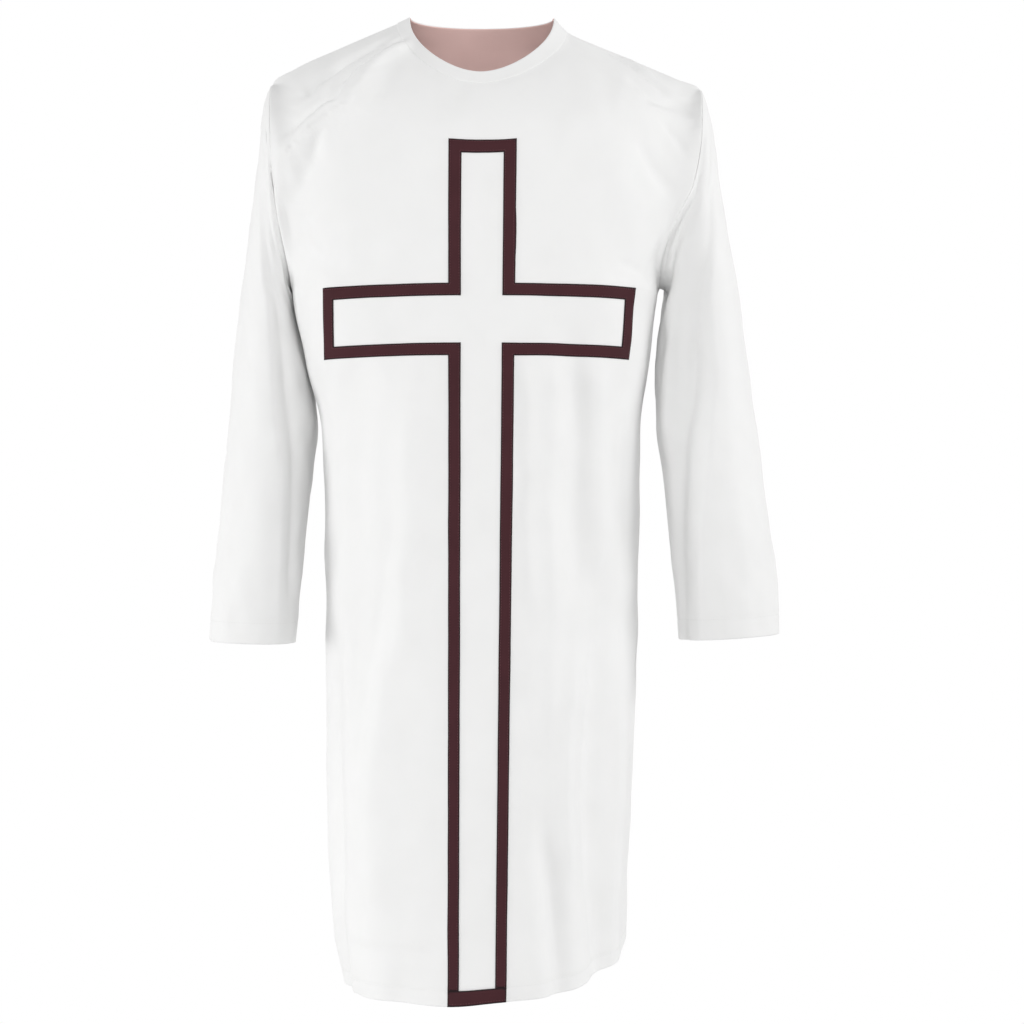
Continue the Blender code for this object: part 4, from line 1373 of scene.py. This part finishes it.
@dataclass
class Surcoat:
    """The garment's pieces, each made on the form of its solid and dressed.

    Args:
        body: The form of the body.
        wall: How thick the cloth is.
        outer: How far its outer side lies outside the form. The band and the tape have their own.
        band_lap: How many rows of a panel lie under the band.
        tape_drop: How far the tape's rim is pulled in.
        tape_step: About how wide a column of the tape is.
        foot_below: How many rows the foot's stitches lie below the middle of the hem.
        facing_level: The level that the facing reaches down to.
        edge_stitch: How far the stitches of the tape lie from its edges.
        hem_inset: How many columns from its ends a hem's line of stitches starts.
        cuff_inset: The same at the cuffs.
        dip: How deep a line of stitches pulls the cloth in.
    """

    body: Body
    wall: float = 0.0006
    outer: float = 0.0008
    band_outer: float = 0.00115
    band_lap: int = 2
    tape_outer: float = 0.0019
    tape_wall: float = 0.0008
    tape_drop: float = 0.0005
    facing_inner: float = 0.0023
    facing_level: float = 2.23
    edge_stitch: float = 0.0022
    dip: float = 0.0004
    tape_step: float = 0.0040
    foot_below: float = 1.6
    hem_inset: float = 0.3
    cuff_inset: float = 0.4
    white: ClothFinish = ClothFinish("white_cloth", (0.888, 0.888, 0.884), (0.868, 0.868, 0.863))
    maroon: TapeFinish = TapeFinish(
        "maroon_tape", (0.062, 0.016, 0.021), (0.050, 0.013, 0.017), thread=0.0007, rough=0.8, sheen=0.01
    )
    # The facing's colour is lighter than its own dusty rose: painted light, to make up for the shade inside the
    # neck.
    rose: ClothFinish = ClothFinish("rose_facing", (0.90, 0.62, 0.58), (0.86, 0.588, 0.546))
    white_thread: ThreadFinish = ThreadFinish("white_thread", (0.88, 0.88, 0.87))
    maroon_thread: ThreadFinish = ThreadFinish("maroon_thread", (0.15, 0.05, 0.06))

    def __post_init__(self) -> None:
        """Makes the finishes, and the front and the back as they hang."""
        finishes = (self.white, self.maroon, self.rose, self.white_thread, self.maroon_thread)
        self.materials = {finish.name: finish.build() for finish in finishes}
        self.levels, self.marks = self.body.levels()
        self.front = self.body.cloth(Face.FRONT, FRONT_FOLDS, Drape(11, 0.0009))
        self.back = self.body.cloth(Face.BACK, BACK_FOLDS, Drape(23, 0.0011))
        self.stitching = Stitching()
        self.stitches = self.stitching.tree()

    def dress(
        self,
        made: bpy.types.Object,
        slot: str,
        cut: Cut,
        nodes: tuple[str, ...],
    ) -> bpy.types.Object:
        """Gives a piece of cloth its material, ties it to the body, hides the solids that it stands for and logs
        its name and number of faces.

        Args:
            made: The piece.
            slot: The record's slot, and the material.
            cut: What it is cut from. It is not used.
            nodes: The solids that it stands for.

        Returns:
            The piece.
        """
        made.data.materials.clear()
        made.data.materials.append(self.materials[slot])
        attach(made, BODY)
        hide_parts(*nodes)
        LOG.info("%s: %d faces", made.name, len(made.data.polygons))
        return made

    def sewn(self, name: str, seats: list[Seat], thread: str) -> bpy.types.Object:
        """Makes the stitches on a piece.

        Args:
            name: Their name.
            seats: Their places.
            thread: The thread's material.

        Returns:
            The stitches.
        """
        made = self.stitching.sew(name, self.stitches, seats, self.materials[thread])
        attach(made, BODY)
        LOG.info("%s: %d faces", made.name, len(made.data.polygons))
        return made

    def pressed(self, cloth: Cloth, row: int) -> Cloth:
        """The cloth with a slight dip along a row, where stitches pull it in."""
        cloth.points[row] -= cloth.normals[row] * self.dip
        return cloth

    def hemmed(self, name: str, cloth: Cloth, row: int, inset: float) -> tuple[Cloth, bpy.types.Object]:
        """Finds the outer side of a piece of white cloth and stitches its hem.

        Args:
            name: The stitches' name.
            cloth: The middle of its wall.
            row: The row that they follow.
            inset: How many columns from each end they start.

        Returns:
            The cloth, and the stitches.
        """
        cloth = self.pressed(cloth.raised(self.outer), row)
        ends = [(row, inset), (row, cloth.points.shape[1] - 1 - inset)]
        seat = Seat.along(cloth, ends, self.stitching.pitch)
        return cloth, self.sewn(name, [seat], "white_thread")

    def made_up(
        self,
        name: str,
        cloth: Cloth,
        turns: dict[Edge, Turn],
        slot: str,
        cut: Cut,
        node: str,
    ) -> bpy.types.Object:
        """Turns the edges of a piece, makes it a thin wall and dresses it.

        Args:
            name: Its name.
            cloth: Its outer side.
            turns: How each edge is turned, in order.
            slot: The record's slot, and the material.
            cut: What it is cut from.
            node: The solid that it stands for.

        Returns:
            The piece.
        """
        for edge, turn in turns.items():
            cloth = turn.applied(cloth, edge)
        return self.dress(plain_mesh(shell(name, cloth, self.wall)), slot, cut, (node,))

    def panel(self, name: str, cloth: Cloth, cut: Cut) -> bpy.types.Object:
        """Makes the front or the back.

        Args:
            name: Its name.
            cloth: Its middle, from the neckline on.
            cut: What it is cut from.

        Returns:
            The piece.
        """
        plain, stitches = self.hemmed(name + "_hem_stitches", cloth, self.marks["stitch"], self.hem_inset)
        piece = plain.part(slice(self.marks["band"] - self.band_lap, None))
        turns = {Edge.START: SEAM, Edge.END: SEAM, Edge.BOTTOM: HEM}
        return self.made_up(name + "_panel", piece, turns, "white_cloth", cut, name)

    def neck_band(self, cut: Cut) -> bpy.types.Object:
        """Makes the band round the neckline, joined at the left shoulder.

        Args:
            cut: What it is cut from.

        Returns:
            The piece.
        """
        rows = slice(0, self.marks["band"] + 1)
        faces = self.front, self.back
        points, normals = (
            np.concatenate([getattr(face, part)[rows, :-1] for face in faces], axis=1)
            for part in ("points", "normals")
        )
        start = self.front.points.shape[1] - 1
        points, normals = (np.roll(a, -start, axis=1) for a in (points, normals))
        normals = unit(outward(points, closed=True) + normals)
        points, normals = (ringed(a) for a in (points, normals))
        down = travelled(points)
        around = np.broadcast_to(travelled(points[0]), down.shape)
        band = Cloth(points, normals, np.stack([around, down], axis=2))
        band = band.raised(self.band_outer)
        turns = {Edge.START: JOIN, Edge.END: JOIN, Edge.TOP: BAND_FOLD, Edge.BOTTOM: BAND_EDGE}
        return self.made_up("neck_binding", band, turns, "white_cloth", cut, "neck_band")

    def facing(self, cut: Cut) -> bpy.types.Object:
        """Makes the facing inside the back of the neck.

        Args:
            cut: What it is cut from.

        Returns:
            The piece.
        """
        last = int(np.searchsorted(self.levels, self.facing_level))
        back = self.back.part(slice(0, last))
        inside = Cloth(back.points[:, ::-1], -back.normals[:, ::-1], back.over[:, ::-1])
        inside = inside.raised(self.facing_inner)
        turns = dict.fromkeys((Edge.START, Edge.END, Edge.TOP, Edge.BOTTOM), FACING_EDGE)
        return self.made_up("neck_facing", inside, turns, "rose_facing", cut, "back_neck_facing")

    def tape(self, name: str, cloth: Cloth, cells: np.ndarray) -> bpy.types.Object:
        """Makes a piece of tape on the front, with rolled edges.

        Args:
            name: Its name.
            cloth: The front's grid, as high as the tape's outer side.
            cells: The cells that the tape covers.

        Returns:
            The piece, not yet dressed.
        """
        padded = np.pad(cells, 1)
        high, wide = cells.shape[0] + 1, cells.shape[1] + 1
        around = np.stack([padded[a : a + high, b : b + wide] for a in (0, 1) for b in (0, 1)])
        rim = around.any(axis=0) & ~around.all(axis=0)
        used = around.any(axis=0)
        edge = cloth.points[rim]
        points = cloth.points.copy()
        inside = np.zeros(used.shape)
        inside[used] = [np.linalg.norm(edge - point, axis=1).min() for point in cloth.points[used]]
        points[rim] -= cloth.normals[rim] * self.tape_drop
        made = shell(name, Cloth(points, cloth.normals, cloth.over), self.tape_wall, cells)
        # The distance from each point to the tape's edge, for the painted shade along the edges in the tape's
        # material.
        attribute = made.data.attributes.new("edge_distance", "FLOAT", "POINT")
        attribute.data.foreach_set("value", inside[used].astype(np.float32))
        return plain_mesh(made)

    def cross(self, cut: Cut, foot_cut: Cut) -> list[bpy.types.Object]:
        """Makes the outline of the cross in tape, and the strip that closes it along the hem.

        Args:
            cut: What the outline is cut from.
            foot_cut: What the strip is cut from.

        Returns:
            The two pieces.
        """
        high = self.front.raised(self.tape_outer)
        row, column = np.indices((high.points.shape[0] - 1, high.points.shape[1] - 1))
        middle = high.points.shape[1] // 2
        strip = np.where(column >= middle, column - middle, middle - 1 - column)
        at = self.marks | self.body.cross.marks()

        def outline(head: str, bar: str, foot: str, stem: str, arm: str) -> np.ndarray:
            """The cells inside a cross with these edges."""
            upright = (strip < at[stem]) & (row >= at[head]) & (row < at["stitch"])
            return upright | (strip < at[arm]) & (row >= at[bar]) & (row < at[foot])

        cells = outline("head", "underarm", "bar_foot", "stem_outer", "arm_outer")
        cells &= ~outline("head_inner", "bar_inner", "foot_inner", "stem_inner", "arm_inner")
        foot_cells = (strip < at["stem_outer"]) & (row >= at["stitch"])
        made = self.tape("tape_outline", high, cells)
        foot = self.tape("tape_foot", high, foot_cells)

        inset = 1 + (self.edge_stitch - self.body.cross.rim) / self.tape_step
        lines = []
        for sign, names in ((-1, ("head", "underarm", "bar_foot", "stem_outer", "arm_outer")),
                            (1, ("head_inner", "bar_inner", "foot_inner", "stem_inner", "arm_inner"))):
            head, bar, low, stem, arm = (at[name] + sign * inset for name in names)
            head, bar = head - 2 * sign * inset, bar - 2 * sign * inset
            half = [(at["stitch"], stem), (low, stem), (low, arm), (bar, arm), (bar, stem), (head, stem)]
            turned = [(r, middle - c) for r, c in half] + [(r, middle + c) for r, c in half[::-1]]
            lines.append(Seat.along(high, turned, self.stitching.pitch))
        stitches = self.sewn("cross_stitches", lines, "maroon_thread")
        foot_line = (at["stitch"] + at["hem"]) / 2 + self.foot_below
        ends = [(foot_line, middle - at["stem_outer"] + 1), (foot_line, middle + at["stem_outer"] - 1)]
        seat = Seat.along(high, ends, self.stitching.pitch)
        foot_stitches = self.sewn("foot_stitches", [seat], "maroon_thread")
        return [
            self.dress(made, "maroon_tape", cut, ("cross_tape",)),
            self.dress(foot, "maroon_tape", foot_cut, ("cross_foot",)),
        ]

    def sleeve(self, name: str, plan: Sleeve, cut: Cut) -> bpy.types.Object:
        """Makes a sleeve.

        Args:
            name: Its name.
            plan: Its form.
            cut: What it is cut from.

        Returns:
            The piece.
        """
        middle = plan.cloth(self.body, self.front, self.back)
        stitch = len(middle.points) - 1 - plan.stitch_rows
        plain, stitches = self.hemmed(name + "_stitches", middle, stitch, self.cuff_inset)
        turns = {Edge.START: SEAM, Edge.END: SEAM, Edge.TOP: SEAM, Edge.BOTTOM: CUFF_HEM}
        return self.made_up(name + "_cloth", plain, turns, "white_cloth", cut, name)


@dataclass
class Studio:
    """A pale floor, soft light and the camera."""

    floor_z: float = -1.40
    floor_radius: float = 1.05
    floor_corners: int = 96
    eye: tuple[float, float, float] = (0.035, -2.40, -0.532)
    view_width: float = 1.1776
    sensor: float = 36.0
    above: float = 0.76
    below: float = 0.48
    before: float = 0.50
    middle: tuple[float, float, float] = (0.0, 0.0, -0.55)

    def floor(self) -> bpy.types.Object:
        """Makes the floor, a pale disc."""
        turn = np.linspace(0.0, 2 * np.pi, self.floor_corners + 1)[:-1]
        rim = np.stack([np.cos(turn), np.sin(turn), np.zeros_like(turn)], axis=1) * self.floor_radius
        mesh = bpy.data.meshes.new("floor")
        mesh.from_pydata((rim + (0.0, 0.0, self.floor_z)).tolist(), [], [list(range(self.floor_corners))])
        made = linked("floor", mesh)
        pale, nodes, shader = new_material("pale_floor")
        where = nodes.add("ShaderNodeTexCoord").outputs["Object"]
        cloud = nodes.add("ShaderNodeTexNoise", Vector=where, Scale=3.0, Detail=2.0)
        colour = nodes.blend(cloud.outputs[0], (0.80, 0.80, 0.80), (0.86, 0.86, 0.86))
        nodes.give(shader, Base_Color=colour, Roughness=0.7)
        mesh.materials.append(pale)
        made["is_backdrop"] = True
        return made

    def world(self) -> None:
        """Lights the scene all round: white behind the garment at eye level, and dimmer elsewhere."""
        world = bpy.data.worlds.new("studio")
        bpy.context.scene.world = world
        world.use_nodes = True
        nodes = Nodes(world.node_tree)
        way = nodes.add("ShaderNodeTexCoord").outputs["Generated"]
        parts = nodes.add("ShaderNodeSeparateXYZ", Vector=way).outputs
        shares = [
            nodes.ramp(parts["Z"], (0.30, 0.80), (1.0, self.above)),
            nodes.ramp(parts["Z"], (-0.80, -0.30), (self.below, 1.0)),
            nodes.ramp(parts["Y"], (-0.15, 0.45), (self.before, 1.0)),
        ]
        strength = nodes.math("MULTIPLY", nodes.math("MULTIPLY", shares[0], shares[1]), shares[2])
        background = world.node_tree.nodes["Background"]
        world.node_tree.links.new(strength, background.inputs["Strength"])
        background.inputs["Color"].default_value = (1.0, 1.0, 1.0, 1.0)

    def lamp(self, name: str, place: tuple[float, float, float], size: float, power: float) -> None:
        """Adds a large soft light that shines on the garment's middle.

        Args:
            name: Its name.
            place: Where it stands.
            size: The length of its sides.
            power: How strong it is, in watts.
        """
        light = bpy.data.lights.new(name, "AREA")
        light.size = size
        light.energy = power
        made = linked(name, light)
        made.location = place
        way = np.subtract(self.middle, place)
        tilt = np.arccos(-way[2] / np.linalg.norm(way))
        made.rotation_euler = (float(tilt), 0.0, float(np.arctan2(way[1], way[0]) - np.pi / 2))

    def camera(self) -> None:
        """Stands the camera level, square to the front, at the photograph's distance."""
        lens = bpy.data.cameras.new("camera")
        lens.sensor_width = self.sensor
        lens.lens = self.sensor * -self.eye[1] / self.view_width
        made = linked("camera", lens)
        made.location = self.eye
        made.rotation_euler = (np.pi / 2, 0.0, 0.0)
        bpy.context.scene.camera = made

    def build(self) -> None:
        """Sets up all of it."""
        self.floor()
        self.world()
        self.lamp("front_light", (-0.05, -2.5, 0.3), 0.8, 24.0)
        self.lamp("right_light", (-2.9, -0.8, -0.7), 1.0, 29.0)
        self.lamp("left_light", (2.9, -0.75, 0.4), 1.0, 30.0)
        self.camera()
        bpy.context.scene.view_settings.view_transform = "Standard"


def main(cad_box: list[list[float]]) -> None:
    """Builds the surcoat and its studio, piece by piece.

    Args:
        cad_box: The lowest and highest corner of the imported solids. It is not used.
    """
    Studio().build()
    surcoat = Surcoat(Body())
    surcoat.panel("front", surcoat.front, Cut(0.62, 1.09, 0.560))
    surcoat.panel("back", surcoat.back, Cut(0.62, 1.12, 0.575))
    surcoat.neck_band(Cut(0.034, 0.52, 0.0165))
    surcoat.facing(Cut(0.36, 0.13, 0.0330))
    surcoat.cross(Cut(0.0145, 2.52, 0.0360), Cut(0.0165, 0.0640, 0.00105))
    surcoat.sleeve("sleeve_right", RIGHT_SLEEVE, Cut(0.53, 0.69, 0.205))
    surcoat.sleeve("sleeve_left", LEFT_SLEEVE, Cut(0.53, 0.68, 0.210))


if __name__ == "__main__":
    logging.basicConfig(level=logging.INFO, format="%(name)s: %(message)s")
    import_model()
    main([list(corner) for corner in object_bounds()])
